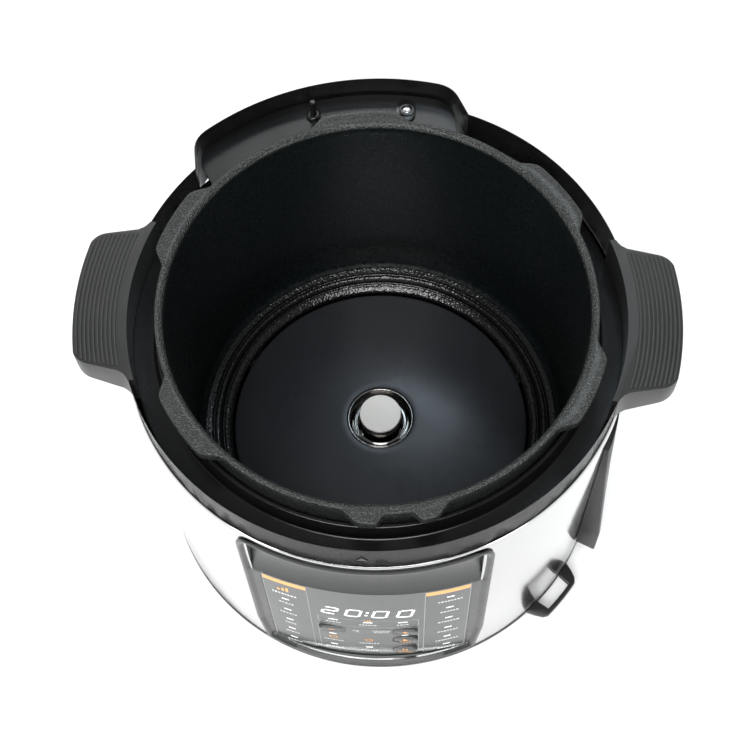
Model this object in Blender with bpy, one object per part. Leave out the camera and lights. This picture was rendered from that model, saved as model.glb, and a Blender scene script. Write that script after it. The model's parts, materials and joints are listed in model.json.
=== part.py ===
"""Base of an electric multi-cooker that cooks under pressure, without its lid and inner pot.

The origin is on the table, on the axis of the cooking well. +Z is up and the front panel faces -Y.
Angles in the plan are in degrees from +X, counter-clockwise, so the front is at -90 and the back at 90.
"""

from math import asin, cos, pi, radians, sin, sqrt

import bmesh
import bpy
from mathutils import Matrix, Vector

# Driving dimensions, in metres and degrees.
GAP = 0.0003  # clearance between pieces that touch
STEPS = 64  # facets round a large turned piece

FOOT_H = 0.0040
FOOT_R = 0.0110
FOOT_RING = 0.1120
BASE_R = 0.1420
BASE_TOP = 0.0097
SHELL_R = 0.1418
SHELL_T = 0.0010
SHELL_Z0, SHELL_Z1 = BASE_TOP + GAP, 0.1996
RIM_R = 0.1402
RIM_Z = 0.2237
BAND_Z = 0.2000  # lower edge of the collar's outer band
BAND_T = 0.0030
TROUGH_Z = 0.2005
LIP_R = 0.1215  # the collar's inner lip, round the pot's neck
LIP_Z = 0.2120

POT_R = 0.1165  # the well's inner radius
POT_TOP = 0.2311
POT_FLOOR = 0.0700
NECK_R = 0.1203
FLANGE_R = 0.1215
FLANGE_T = 0.0068
LUG_R = 0.1285
LUG_COUNT = 6
LUG_PHASE = 38.0
LUG_HALF, LUG_SLOPE = 12.5, 7.0
NOTCH_AT, NOTCH_HALF, NOTCH_R = -81.6, 4.6, 0.1235
PLATE_R = 0.0938
PLATE_Z = 0.0722  # at its edge
PLATE_DOME = 0.0077  # how much higher its middle is
PLATE_HOLE_R = 0.0210
SENSOR_R = 0.0130
SENSOR_Z = 0.0860
STEM_R = 0.0030
GUIDE_Z = 0.0470
GUIDE_WALL = 0.0012
SPRING_PLATE_Z = (0.0532, 0.0548)
STUD_AZ = (30, 150, 270)
STUD_RING = 0.1050
LEG_AZ = (90, 210, 330)

TRAY_R = 0.1565  # the rear tray, a bay on the collar
TRAY_ROOT_AZ = (70.8, 141.5)  # where its end walls leave the rim
TRAY_TIP_AZ = (76.3, 136.6)  # where they would meet its outer wall, but for the round corners
TRAY_WALL = 0.0028
TRAY_FLOOR = (0.2072, 0.2100)
TRAY_Z0 = 0.1800
PIN_AZ, PIN_R = 108.5, 0.1447
PIN_SHAFT_R = 0.0018
PIN_TOP = 0.2240
PIN_TRAVEL = 0.0040
SHOULDER_Z = 0.2010
SWITCH_TOP = 0.1880
BUSH_R = 0.0030
PAD_AZ, PAD_R = 86.3, 0.1430
SCREW_AZ, SCREW_R = 86.1, 0.1434

HANDLE_R = 0.1672
HANDLE_ROOT, HANDLE_TIP = 0.0445, 0.0405  # half widths
HANDLE_CORNER = 0.0068
HANDLE_RISE = 0.0075  # of the underside, from root to tip

BEZEL_R = 0.1434
BEZEL_Z = (0.0160, 0.1975)
BEZEL_WALL = 0.0022
FACE_R = 0.1750  # the overlay is flatter than the body
FACE_Y = -0.1385  # where its middle lies
OVERLAY_X, OVERLAY_Z = 0.0595, (0.0225, 0.1450)
OVERLAY_T = 0.0010
SEAT_GAP = 0.0006
SEAT_SLOPE = 0.0005
CUTOUT_INSET = 1.2  # degrees from the bezel's edge to the hole in the shell
KEYS = {  # middle x, middle z, half width, half height
    "key_minus": (-0.0220, 0.0730, 0.0074, 0.0048),
    "key_plus": (0.0225, 0.0730, 0.0074, 0.0048),
    "key_start": (0.0225, 0.0560, 0.0072, 0.0060),
    "key_stop": (0.0225, 0.0345, 0.0072, 0.0060),
}
KEY_CLEARANCE = 0.0005
BOARD_Y = (-0.1262, -0.1246)
POWER_BOARD_Z = 0.0160
DISPLAY_BOX = (0.0290, 0.0970, 0.1210)  # half width, lowest and highest z

HOOD_AZ, HOOD_HALF, HOOD_TOP_HALF = -19.0, 5.6, 5.3
HOOD_Z = (0.0300, 0.1780)
HOOD_R = 0.1550
HOOD_TAPER = (0.0560, 0.1446)  # it leans in above this height, to this radius at its top
HOOD_LEAN = (1.0, 0.99, 0.86, 0.70, 0.52, 0.30, 0.0)  # how far it stands out, from its near side to its far one
HOOD_CHEEK = 1.15  # degrees of wall at each side of its hollow
INLET_AZ = -20.4
INLET_Z = (0.0500, 0.0700)
INLET_R = (0.1424, 0.1464)
LOOP_AZ = -37.0
LOOP_Z = (0.0060, 0.0120)
LOOP_R = 0.1535

MATERIALS = {  # colour, roughness, metallic
    "black_plastic": ((0.020, 0.021, 0.022), 0.42, 0.0),
    "steel": ((0.72, 0.72, 0.71), 0.22, 1.0),
    "rubber": ((0.03, 0.03, 0.03), 0.85, 0.0),
    "pot_enamel": ((0.030, 0.036, 0.038), 0.35, 0.2),
    "plate": ((0.055, 0.058, 0.065), 0.45, 0.6),
    "aluminium": ((0.80, 0.80, 0.79), 0.35, 1.0),
    "element": ((0.30, 0.29, 0.27), 0.55, 0.9),
    "spring_steel": ((0.55, 0.55, 0.56), 0.30, 1.0),
    "zinc_sheet": ((0.55, 0.57, 0.58), 0.45, 0.9),
    "panel_gloss": ((0.07, 0.075, 0.075), 0.18, 0.0),
    "overlay": ((0.13, 0.14, 0.14), 0.15, 0.0),
    "key": ((0.05, 0.05, 0.055), 0.30, 0.0),
    "board": ((0.04, 0.20, 0.09), 0.55, 0.0),
    "component": ((0.06, 0.06, 0.06), 0.50, 0.0),
    "display": ((0.04, 0.04, 0.045), 0.25, 0.0),
    "contact": ((0.75, 0.60, 0.30), 0.30, 1.0),
}


def clear_scene():
    for obj in list(bpy.data.objects):
        bpy.data.objects.remove(obj, do_unlink=True)


def make_materials():
    for name, (colour, roughness, metallic) in MATERIALS.items():
        mat = bpy.data.materials.new(name)
        mat.use_nodes = True
        shader = mat.node_tree.nodes["Principled BSDF"]
        shader.inputs["Base Color"].default_value = (*colour, 1.0)
        shader.inputs["Roughness"].default_value = roughness
        shader.inputs["Metallic"].default_value = metallic


def place(name, bm, material, origin=(0.0, 0.0, 0.0)):
    """The bmesh as an object whose origin is at a point of the model."""
    bmesh.ops.translate(bm, vec=-Vector(origin), verts=bm.verts)
    mesh = bpy.data.meshes.new(name)
    bm.to_mesh(mesh)
    bm.free()
    mesh.shade_smooth()
    mesh.set_sharp_from_angle(angle=radians(35))
    obj = bpy.data.objects.new(name, mesh)
    obj.location = origin
    if material:
        mesh.materials.append(bpy.data.materials[material])
    bpy.context.scene.collection.objects.link(obj)
    return obj


def helper(name, bm):
    """A cutter, or a shape that a Boolean joins to another."""
    obj = place(name, bm, None)
    obj.hide_render = True
    obj.display_type = "WIRE"
    return obj


def boolean(obj, other, operation="DIFFERENCE"):
    modifier = obj.modifiers.new(operation.title() + " " + other.name, "BOOLEAN")
    modifier.operation = operation
    modifier.object = other


def polar(radius, azimuth, z=0.0):
    angle = radians(azimuth)
    return Vector((radius * cos(angle), radius * sin(angle), z))


def turned(profile, steps=STEPS, radius_of=None):
    """A closed outline of (radius, height) points swept round the Z axis."""
    bm = bmesh.new()
    rings = []
    for r, z in profile:
        if r == 0.0:
            rings.append([bm.verts.new((0.0, 0.0, z))] * steps)
            continue
        ring = []
        for i in range(steps):
            azimuth = 360.0 * i / steps
            ring.append(bm.verts.new(polar(radius_of(r, z, azimuth) if radius_of else r, azimuth, z)))
        rings.append(ring)
    for below, above in zip(rings, rings[1:] + rings[:1]):
        for i in range(steps):
            j = (i + 1) % steps
            corners = list(dict.fromkeys((below[i], below[j], above[j], above[i])))
            if len(corners) > 2:
                bm.faces.new(corners)
    bmesh.ops.recalc_face_normals(bm, faces=bm.faces)
    return bm


def prism(outline, z0, z1, bm=None):
    """An outline of plan points, extruded upwards."""
    bm = bm or bmesh.new()
    low = [bm.verts.new((p[0], p[1], z0)) for p in outline]
    high = [bm.verts.new((p[0], p[1], z1)) for p in outline]
    faces = [bm.faces.new(low[::-1]), bm.faces.new(high)]
    for i in range(len(outline)):
        j = (i + 1) % len(outline)
        faces.append(bm.faces.new((low[i], low[j], high[j], high[i])))
    bmesh.ops.recalc_face_normals(bm, faces=faces)
    return bm


def block(centre, size, turn=0.0, bm=None):
    bm = bm or bmesh.new()
    matrix = Matrix.Translation(centre) @ Matrix.Rotation(radians(turn), 4, "Z")
    bmesh.ops.create_cube(bm, size=1.0, matrix=matrix @ Matrix.Diagonal((*size, 1.0)))
    return bm


def rod(centre, radius, z0, z1, steps=20, bm=None):
    bm = bm or bmesh.new()
    matrix = Matrix.Translation((centre[0], centre[1], (z0 + z1) / 2))
    bmesh.ops.create_cone(
        bm, cap_ends=True, segments=steps, radius1=radius, radius2=radius, depth=z1 - z0, matrix=matrix
    )
    return bm


def moved(bm, offset):
    bmesh.ops.translate(bm, vec=Vector(offset), verts=bm.verts)
    return bm


def arc(radius, azimuths, count, centre=(0.0, 0.0)):
    """Points along an arc in the plan."""
    start, stop = azimuths
    points = []
    for i in range(count):
        point = polar(radius, start + (stop - start) * i / (count - 1))
        points.append((centre[0] + point.x, centre[1] + point.y))
    return points


def coil(name, material, centre, radius, wire, z0, z1, turns, per_turn=10):
    """A compression spring as one closed tube."""
    curve = bpy.data.curves.new(name, "CURVE")
    curve.dimensions = "3D"
    curve.bevel_depth = wire / 2
    curve.bevel_resolution = 0
    curve.use_fill_caps = True
    spline = curve.splines.new("POLY")
    count = turns * per_turn + 1
    spline.points.add(count - 1)
    low, high = z0 + wire / 2, z1 - wire / 2
    for i in range(count):
        point = polar(radius, 360.0 * i / per_turn, low + (high - low) * i / (count - 1))
        spline.points[i].co = (*point, 1.0)
    curve.materials.append(bpy.data.materials[material])
    obj = bpy.data.objects.new(name, curve)
    obj.location = (centre[0], centre[1], 0.0)
    bpy.context.scene.collection.objects.link(obj)
    return obj


# The base.


def foot_places():
    return [polar(FOOT_RING, azimuth) for azimuth in (45, 135, 225, 315)]


def base_pan():
    floor_top = FOOT_H + 0.0028
    pan = place(
        "base_pan",
        turned(
            [
                (0.0, FOOT_H),
                (BASE_R - 0.0025, FOOT_H),
                (BASE_R, FOOT_H + 0.0020),
                (BASE_R, BASE_TOP),
                (SHELL_R - SHELL_T - GAP, BASE_TOP),
                (SHELL_R - SHELL_T - GAP, 0.0180),
                (SHELL_R - 0.0045, 0.0180),
                (SHELL_R - 0.0045, floor_top),
                (0.0, floor_top),
            ]
        ),
        "black_plastic",
    )
    slots = bmesh.new()
    for i in range(12):
        azimuth = 15.0 + 30.0 * i
        block(polar(0.072, azimuth, FOOT_H), (0.034, 0.0045, 0.020), azimuth, slots)
    for spot in foot_places():
        rod(spot, 0.0043, 0.0, 0.02, 16, slots)
    boolean(pan, helper("pan_openings", slots))
    posts = bmesh.new()
    for x, y in ((-0.040, -0.030), (0.040, -0.030), (-0.040, 0.030), (0.040, 0.030)):
        rod((x, y), 0.0035, FOOT_H + 0.001, POWER_BOARD_Z - GAP, 10, posts)
    boolean(pan, helper("board_posts", posts), "UNION")


def feet():
    for number, spot in enumerate(foot_places(), 1):
        profile = [
            (0.0, 0.0),
            (FOOT_R - 0.0015, 0.0),
            (FOOT_R, 0.0015),
            (FOOT_R, FOOT_H - GAP),
            (0.0040, FOOT_H - GAP),
            (0.0040, 0.0090),
            (0.0, 0.0090),
        ]
        place(f"foot_{number}", moved(turned(profile, 20), spot), "rubber")


def pot_legs():
    """Folded strips that carry the pot housing on the pan."""
    for number, azimuth in enumerate(LEG_AZ, 1):
        low, high, wall = FOOT_H + 0.0028 + GAP, POT_FLOOR - GAP, 0.0016
        outline = [
            (0.0920, low),
            (0.1100, low),
            (0.1100, high - wall),
            (0.1180, high - wall),
            (0.1180, high),
            (0.1100 - wall, high),
            (0.1100 - wall, low + wall),
            (0.0920, low + wall),
        ]
        bm = prism(outline, -0.009, 0.009)
        bmesh.ops.rotate(bm, cent=(0, 0, 0), matrix=Matrix.Rotation(pi / 2, 3, "X"), verts=bm.verts)
        bmesh.ops.rotate(bm, cent=(0, 0, 0), matrix=Matrix.Rotation(radians(azimuth), 3, "Z"), verts=bm.verts)
        place(f"pot_leg_{number}", bm, "zinc_sheet")


# The outside.


def bezel_half(z):
    """Half the bezel's width at a height, in degrees: a shield with rounded shoulders and cut lower corners."""
    low, high = BEZEL_Z
    shoulder, corner = 0.016, 0.036
    if z > high - shoulder:
        rise = (z - (high - shoulder)) / shoulder
        return 29.3 - 4.5 * (1 - sqrt(max(0.0, 1 - rise * rise)))
    if z < low + corner:
        return 27.6 + 1.7 * (z - low) / corner
    return 29.3


def outer_shell():
    inner = SHELL_R - SHELL_T
    shell = place(
        "outer_shell",
        turned(
            [
                (SHELL_R, SHELL_Z0),
                (SHELL_R, SHELL_Z1 - 0.0010),
                (SHELL_R - 0.0008, SHELL_Z1),
                (inner, SHELL_Z1),
                (inner, SHELL_Z0),
            ]
        ),
        "steel",
    )
    low, high = BEZEL_Z[0] + 0.0045, BEZEL_Z[1] - 0.0045
    heights = [low, low + 0.0315, 0.100, high - 0.0090, high - 0.0035, high]
    opening = bmesh.new()
    near, far = [], []
    for radius, loops in ((0.1300, near), (0.1500, far)):
        for z in heights:
            half = bezel_half(z) - CUTOUT_INSET
            row = arc(radius / cos(radians(half) / 8), (-90 - half, -90 + half), 9)
            loops.append([opening.verts.new((x, y, z)) for x, y in row])
    skin_grid(opening, near, far)
    boolean(shell, helper("panel_opening", opening))
    wire_hole = block(polar(SHELL_R, INLET_AZ, sum(INLET_Z) / 2), (0.020, 0.010, 0.010), INLET_AZ)
    boolean(shell, helper("wire_opening", wire_hole))


def skin_grid(bm, near, far):
    """Closes a slab between two matching grids of vertices."""
    rows, columns = len(near), len(near[0])
    for grid in (near, far):
        for i in range(rows - 1):
            for j in range(columns - 1):
                bm.faces.new((grid[i][j + 1], grid[i + 1][j + 1], grid[i + 1][j], grid[i][j]))
    for i in range(rows - 1):
        for j in (0, columns - 1):
            bm.faces.new((near[i][j], near[i + 1][j], far[i + 1][j], far[i][j]))
    for j in range(columns - 1):
        for i in (0, rows - 1):
            bm.faces.new((near[i][j], near[i][j + 1], far[i][j + 1], far[i][j]))
    bmesh.ops.recalc_face_normals(bm, faces=bm.faces)


def rounded_corner(before, corner, after, reach, count=5):
    """Points of a curve that leaves one side and joins the next at a given reach from their corner."""
    start = corner + (before - corner).normalized() * reach
    stop = corner + (after - corner).normalized() * reach
    points = []
    for i in range(count):
        t = i / (count - 1)
        point = start * (1 - t) ** 2 + corner * 2 * t * (1 - t) + stop * t * t
        points.append((point.x, point.y))
    return points


def tray_outline(inner, outer, inset=0.0, corner=0.009):
    """The rear bay in plan: its end walls lean towards each other, and its outer corners are round."""
    edge = inset / outer * 180 / pi
    root = (TRAY_ROOT_AZ[0] + edge, TRAY_ROOT_AZ[1] - edge)
    tip = (TRAY_TIP_AZ[0] + edge, TRAY_TIP_AZ[1] - edge)
    turn = corner / outer * 180 / pi
    base = max(inner, RIM_R)
    points = rounded_corner(polar(base, root[0]), polar(outer, tip[0]), polar(outer, tip[0] + turn), corner)
    points += arc(outer, (tip[0] + 1.3 * turn, tip[1] - 1.3 * turn), 12)
    points += rounded_corner(polar(outer, tip[1] - turn), polar(outer, tip[1]), polar(base, root[1]), corner)
    if inner < base:
        points.append(tuple(polar(base, root[1]))[:2])
    points += arc(inner, (root[1], root[0]), 16)
    if inner < base:
        points.append(tuple(polar(base, root[0]))[:2])
    return points


def collar():
    """The plastic collar: a rim with its band, a trough inside it, and the rear tray."""
    inside = RIM_R - BAND_T
    skirt = SHELL_R - SHELL_T - GAP
    ring = place(
        "collar",
        turned(
            [
                (LIP_R, 0.1980),
                (LIP_R, LIP_Z),
                (LIP_R + 0.0022, LIP_Z),
                (LIP_R + 0.0035, TROUGH_Z),
                (inside, TROUGH_Z),
                (inside, RIM_Z - 0.0006),
                (inside + 0.0006, RIM_Z),
                (RIM_R - 0.0008, RIM_Z),
                (RIM_R, RIM_Z - 0.0008),
                (RIM_R + 0.0003, BAND_Z),
                (skirt - 0.0002, BAND_Z),
                (skirt - 0.0002, 0.1900),
                (skirt - 0.0025, 0.1900),
                (skirt - 0.0025, 0.1980),
            ]
        ),
        "black_plastic",
    )
    floor, top = TRAY_FLOOR
    outer = SHELL_R + 2 * GAP
    boolean(ring, helper("tray_upper", prism(tray_outline(0.1262, TRAY_R), BAND_Z + 0.0001, RIM_Z)), "UNION")
    lower = prism(tray_outline(outer, TRAY_R), TRAY_Z0, BAND_Z + 0.0020)
    boolean(ring, helper("tray_lower", lower), "UNION")
    pocket = tray_outline(0.1255, TRAY_R - TRAY_WALL, TRAY_WALL)
    boolean(ring, helper("tray_pocket", prism(pocket, top, RIM_Z + 0.01)))
    chamber = tray_outline(outer, TRAY_R - TRAY_WALL, TRAY_WALL)
    boolean(ring, helper("tray_chamber", prism(chamber, TRAY_Z0 - 0.01, floor)))
    pad_outline = stadium(polar(PAD_R, PAD_AZ), PAD_AZ, 0.0022, 0.0060)
    boolean(ring, helper("tray_pad", prism(pad_outline, top - 0.001, top + 0.0012)), "UNION")
    holes = rod(polar(PIN_R, PIN_AZ), BUSH_R + GAP, floor - 0.01, RIM_Z + 0.01, 20)
    boolean(ring, helper("pin_hole", holes))
    recess = rod(polar(SCREW_R, SCREW_AZ), 0.0038, floor + 0.0012, RIM_Z + 0.01, 20)
    boolean(ring, helper("screw_recess", recess))
    through = rod(polar(SCREW_R, SCREW_AZ), 0.0017, floor - 0.01, floor + 0.005, 12)
    boolean(ring, helper("screw_hole", through))
    room = block((0.0, -0.1400, 0.19205), (0.1460, 0.0320, 0.0117))
    boolean(ring, helper("bezel_room", room))


def stadium(centre, azimuth, straight, radius, steps=8):
    """A pad outline with round ends, lying along the radius at an azimuth."""
    points = []
    for end, start in ((1, -90), (-1, 90)):
        middle = centre + polar(end * straight, azimuth)
        points += arc(radius, (azimuth + start, azimuth + start + 180), steps, (middle.x, middle.y))
    return points


def tray_cover():
    outline = tray_outline(SHELL_R + 0.0012, TRAY_R - TRAY_WALL - 0.0006, TRAY_WALL + 0.0016)
    place("tray_cover", prism(outline, TRAY_Z0 + 0.0002, TRAY_Z0 + 0.0022), "black_plastic")


def tray_screw():
    low, high = TRAY_FLOOR
    seat = low + 0.0015
    shaft, head = 0.0014, 0.0028
    profile = [(0.0, low - 0.0072), (shaft, low - 0.0072), (shaft, seat)]
    profile += [(head, seat), (head, high), (0.0, high + 0.0004)]
    place("tray_screw", moved(turned(profile, 16), polar(SCREW_R, SCREW_AZ)), "spring_steel")


def handle_corner(sign, tip_angle, turn, count=4):
    """A handle's rounded outer corner, from its side to its tip."""
    points = []
    for i in range(count):
        angle = i / (count - 1) * pi / 2
        reach = HANDLE_R - HANDLE_CORNER * (1 - sin(angle))
        points.append(tuple(polar(reach, sign * (tip_angle - turn * (1 - cos(angle)))))[:2])
    return points


def handle(name, side):
    """A carrying handle. Its underside rises towards the tip, and a tab hangs beside the shell."""
    root = RIM_R + 0.0003 + 2 * GAP
    tip_angle = asin(HANDLE_TIP / HANDLE_R) * 180 / pi
    turn = HANDLE_CORNER / HANDLE_R * 180 / pi
    flare = [(HANDLE_ROOT + 0.0042, 0.0), (HANDLE_ROOT + 0.0012, 0.0016), (HANDLE_ROOT - 0.0004, 0.0046)]
    flare = [(root + out, asin(half / (root + out)) * 180 / pi) for half, out in flare]
    outline = arc(root, (flare[0][1], -flare[0][1]), 11)
    outline += [tuple(polar(r, -angle))[:2] for r, angle in flare[1:]]
    outline += handle_corner(-1, tip_angle, turn)
    outline += arc(HANDLE_R, (-tip_angle + turn, tip_angle - turn), 9)[1:-1]
    outline += handle_corner(1, tip_angle, turn)[::-1]
    outline += [tuple(polar(r, angle))[:2] for r, angle in flare[:0:-1]]
    bm = prism(outline, BAND_Z, RIM_Z)
    for vert in bm.verts:
        reach = (vert.co.xy.length - root) / (HANDLE_R - root)
        if vert.co.z < RIM_Z - 0.001 and reach > 0.0:
            vert.co.z += HANDLE_RISE * reach
    if side < 0:
        bmesh.ops.rotate(bm, cent=(0, 0, 0), matrix=Matrix.Rotation(pi, 3, "Z"), verts=bm.verts)
    grip = place(name, bm, "black_plastic")
    tab_x = side * (SHELL_R + GAP + 0.0022)
    tab = block((tab_x, 0.0, BAND_Z - 0.004), (0.0036, 0.046, 0.016))
    boolean(grip, helper(name + "_tab", tab), "UNION")


# The cooking well.


def lug_reach(azimuth):
    """How far the flange's edge stands out here: it swells into lugs, and a notch splits the front one."""
    pitch = 360.0 / LUG_COUNT
    off = abs((azimuth - LUG_PHASE + pitch / 2) % pitch - pitch / 2)
    share = min(1.0, max(0.0, (LUG_HALF - off) / LUG_SLOPE + 0.5))
    reach = (LUG_R - FLANGE_R) * share * share * (3 - 2 * share)
    from_notch = abs((azimuth - NOTCH_AT + 180) % 360 - 180)
    return min(reach, NOTCH_R - FLANGE_R) if from_notch < NOTCH_HALF else reach


def pot_housing():
    under = POT_TOP - FLANGE_T
    edge = FLANGE_R - 0.0012
    profile = [
        (POT_R, 0.0880),
        (POT_R, POT_TOP - 0.0040),
        (POT_R + 0.0010, POT_TOP - 0.0012),
        (POT_R + 0.0028, POT_TOP),
        (edge, POT_TOP - 0.0003),
        (FLANGE_R, POT_TOP - 0.0015),
        (FLANGE_R, under + 0.0012),
        (FLANGE_R - 0.0006, under),
        (NECK_R, under),
        (NECK_R, 0.0820),
        (NECK_R - 0.0060, POT_FLOOR),
        (PLATE_R + 0.0020, POT_FLOOR),
        (PLATE_R + 0.0020, 0.0750),
        (PLATE_R + 0.0050, 0.0765),
        (0.1060, 0.0770),
        (0.1130, 0.0800),
    ]

    def radius_of(r, z, azimuth):
        on_neck = z < under + 1e-6 and r < NECK_R + 1e-6
        return r if on_neck or r < edge - 1e-6 else r + lug_reach(azimuth)

    place("pot_housing", turned(profile, STEPS, radius_of), "pot_enamel")


def dome_z(radius):
    """The height of the plate's top, which rises gently to its middle."""
    return PLATE_Z + PLATE_DOME * (1 - (radius / PLATE_R) ** 2)


def heating_plate():
    top, low = PLATE_Z, PLATE_Z - 0.0065
    profile = [
        (PLATE_HOLE_R, low - 0.0020),
        (0.0300, low - 0.0020),
        (0.0310, low),
        (PLATE_R, low),
        (PLATE_R, top - 0.0012),
    ]
    for radius in (PLATE_R - 0.0015, 0.0800, 0.0660, 0.0510, 0.0360, PLATE_HOLE_R + 0.0008):
        profile.append((radius, dome_z(radius)))
    profile.append((PLATE_HOLE_R, dome_z(PLATE_HOLE_R) - 0.0008))
    place("heating_plate", turned(profile, 48), "plate")


def heating_element():
    """A sheathed tube under the plate, in an open ring, with its two cold ends turned down."""
    radius, tube = 0.0640, 0.0036
    z = PLATE_Z - 0.0065 - GAP - tube
    curve = bpy.data.curves.new("heating_element", "CURVE")
    curve.dimensions = "3D"
    curve.bevel_depth = tube
    curve.bevel_resolution = 1
    curve.use_fill_caps = True
    points = [polar(radius, 255 + 330 * i / 32, z) for i in range(33)]
    start, stop = points[0], points[-1]
    legs = [0.003, 0.007, 0.020]
    points = [start - Vector((0, 0, d)) for d in reversed(legs)] + points[1:-1]
    points += [stop - Vector((0, 0, d)) for d in legs]
    spline = curve.splines.new("POLY")
    spline.points.add(len(points) - 1)
    for target, point in zip(spline.points, points):
        target.co = (*point, 1.0)
    curve.materials.append(bpy.data.materials["element"])
    obj = bpy.data.objects.new("heating_element", curve)
    bpy.context.scene.collection.objects.link(obj)


def spring_plate():
    """The springy steel star that carries the plate. It bends when the pot swells under pressure."""
    low, high = SPRING_PLATE_Z
    profile = [(0.0185, low), (0.0560, low), (0.0560, high), (0.0185, high)]
    hub = place("spring_plate", turned(profile, 40), "spring_steel")
    arms = bmesh.new()
    for azimuth in STUD_AZ:
        block(polar(0.0800, azimuth, (low + high) / 2), (0.0600, 0.0180, high - low - 0.0002), azimuth, arms)
    boolean(hub, helper("star_arms", arms), "UNION")


def plate_fixings():
    plate_low = PLATE_Z - 0.0065
    for number, azimuth in enumerate(STUD_AZ, 1):
        z0, z1 = SPRING_PLATE_Z[1] + GAP, plate_low - GAP
        place(f"plate_spacer_{number}", rod(polar(0.0450, azimuth), 0.0050, z0, z1, 16), "zinc_sheet")
        stud = rod(polar(STUD_RING, azimuth), 0.0035, SPRING_PLATE_Z[1] + GAP, POT_FLOOR - GAP, 16)
        place(f"pot_stud_{number}", stud, "zinc_sheet")


def pressure_switch():
    low = SPRING_PLATE_Z[0] - GAP
    box = block(polar(0.0800, STUD_AZ[1], low - 0.007), (0.024, 0.016, 0.014), STUD_AZ[1])
    place("pressure_switch", box, "component")


def thermal_cutout():
    top = PLATE_Z - 0.0065 - GAP
    seat = top - 0.0030
    profile = [(0.0, top - 0.0090), (0.0050, top - 0.0090), (0.0060, seat)]
    profile += [(0.0085, seat), (0.0085, top), (0.0, top)]
    place("thermal_cutout", moved(turned(profile, 20), polar(0.0810, 100)), "component")


def sensor_guide():
    """A tube round the capsule. Its top opens into a dish that ends just inside the plate's hole."""
    outer = SENSOR_R + 0.0026
    inner = outer - GUIDE_WALL
    rim = dome_z(PLATE_HOLE_R)
    profile = [
        (STEM_R + 0.0008, GUIDE_Z),
        (outer, GUIDE_Z),
        (outer, PLATE_Z - 0.0006),
        (PLATE_HOLE_R - 0.0006, rim - 0.0022),
        (PLATE_HOLE_R - 0.0004, rim - 0.0004),
        (PLATE_HOLE_R - 0.0012, rim - 0.0006),
        (inner + 0.0018, PLATE_Z + 0.0008),
        (inner + 0.0010, PLATE_Z + 0.0014),
        (inner, PLATE_Z + 0.0008),
        (inner, GUIDE_Z + 0.0015),
        (STEM_R + 0.0008, GUIDE_Z + 0.0015),
    ]
    place("sensor_guide", turned(profile, 28), "steel")


def sensor_cap():
    """The capsule that the inner pot presses down. Its stem runs through the guide's floor."""
    top, wall = SENSOR_Z, 0.0013
    profile = [
        (0.0, GUIDE_Z - 0.0040),
        (STEM_R, GUIDE_Z - 0.0040),
        (STEM_R, top - 0.0024),
        (SENSOR_R - wall, top - 0.0024),
        (SENSOR_R - wall, top - 0.0200),
        (SENSOR_R, top - 0.0200),
        (SENSOR_R, top - 0.0016),
        (SENSOR_R - 0.0006, top - 0.0005),
        (SENSOR_R - 0.0018, top),
        (0.0, top),
    ]
    place("sensor_cap", turned(profile, 28), "aluminium", (0.0, 0.0, SENSOR_Z))


def sensor_spring():
    low, high = GUIDE_Z + 0.0015 + GAP, SENSOR_Z - 0.0024 - GAP
    coil("sensor_spring", "spring_steel", (0, 0), 0.0085, 0.0012, low, high, 6)


def sensor_clip():
    z1 = GUIDE_Z - GAP
    inner = STEM_R + GAP
    profile = [(inner, z1 - 0.0014), (0.0064, z1 - 0.0014), (0.0064, z1), (inner, z1)]
    place("sensor_clip", turned(profile, 24), "spring_steel", (0.0, 0.0, z1))


# The lid sensing pin in the rear tray.


def lid_pin():
    spot = polar(PIN_R, PIN_AZ)
    profile = [
        (0.0, SWITCH_TOP + PIN_TRAVEL + 0.0010),
        (PIN_SHAFT_R - 0.0006, SWITCH_TOP + PIN_TRAVEL + 0.0010),
        (PIN_SHAFT_R - 0.0006, SHOULDER_Z - 0.0014),
        (0.0025, SHOULDER_Z - 0.0014),
        (0.0025, SHOULDER_Z),
        (PIN_SHAFT_R, SHOULDER_Z),
        (PIN_SHAFT_R, PIN_TOP - 0.0012),
        (PIN_SHAFT_R - 0.0007, PIN_TOP - 0.0002),
        (0.0, PIN_TOP),
    ]
    place("lid_pin", moved(turned(profile, 20), spot), "black_plastic", (spot.x, spot.y, PIN_TOP))


def lid_pin_bush():
    floor, top = TRAY_FLOOR
    inner = PIN_SHAFT_R + GAP
    profile = [
        (inner, SHOULDER_Z + GAP),
        (BUSH_R, SHOULDER_Z + GAP),
        (BUSH_R, top + GAP),
        (0.0040, top + GAP),
        (0.0040, top + 0.0018),
        (0.0032, top + 0.0026),
        (inner, top + 0.0026),
    ]
    place("lid_pin_bush", moved(turned(profile, 20), polar(PIN_R, PIN_AZ)), "black_plastic")


def lid_pin_spring():
    spot = polar(PIN_R, PIN_AZ)
    low, high = SWITCH_TOP + GAP, SHOULDER_Z - 0.0014 - GAP
    coil("lid_pin_spring", "spring_steel", spot, 0.0019, 0.0005, low, high, 5, per_turn=8)


def lid_switch():
    low = TRAY_Z0 + 0.0025
    centre = polar(PIN_R + 0.0042, PIN_AZ, (low + SWITCH_TOP) / 2)
    place("lid_switch", block(centre, (0.0079, 0.0140, SWITCH_TOP - low), PIN_AZ), "component")


# The control panel.


def face_y(x, back=0.0):
    """Y of the overlay's front at x, or of a surface that lies behind it."""
    centre = FACE_Y + FACE_R
    return centre - sqrt((FACE_R - back) ** 2 - x * x)


def on_face(azimuth, back):
    """The distance from the axis, at this azimuth, of a surface set back from the overlay's front."""
    centre, radius = FACE_Y + FACE_R, FACE_R - back
    along = centre * sin(radians(azimuth))
    return along + sqrt(along * along + radius * radius - centre * centre)


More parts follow.
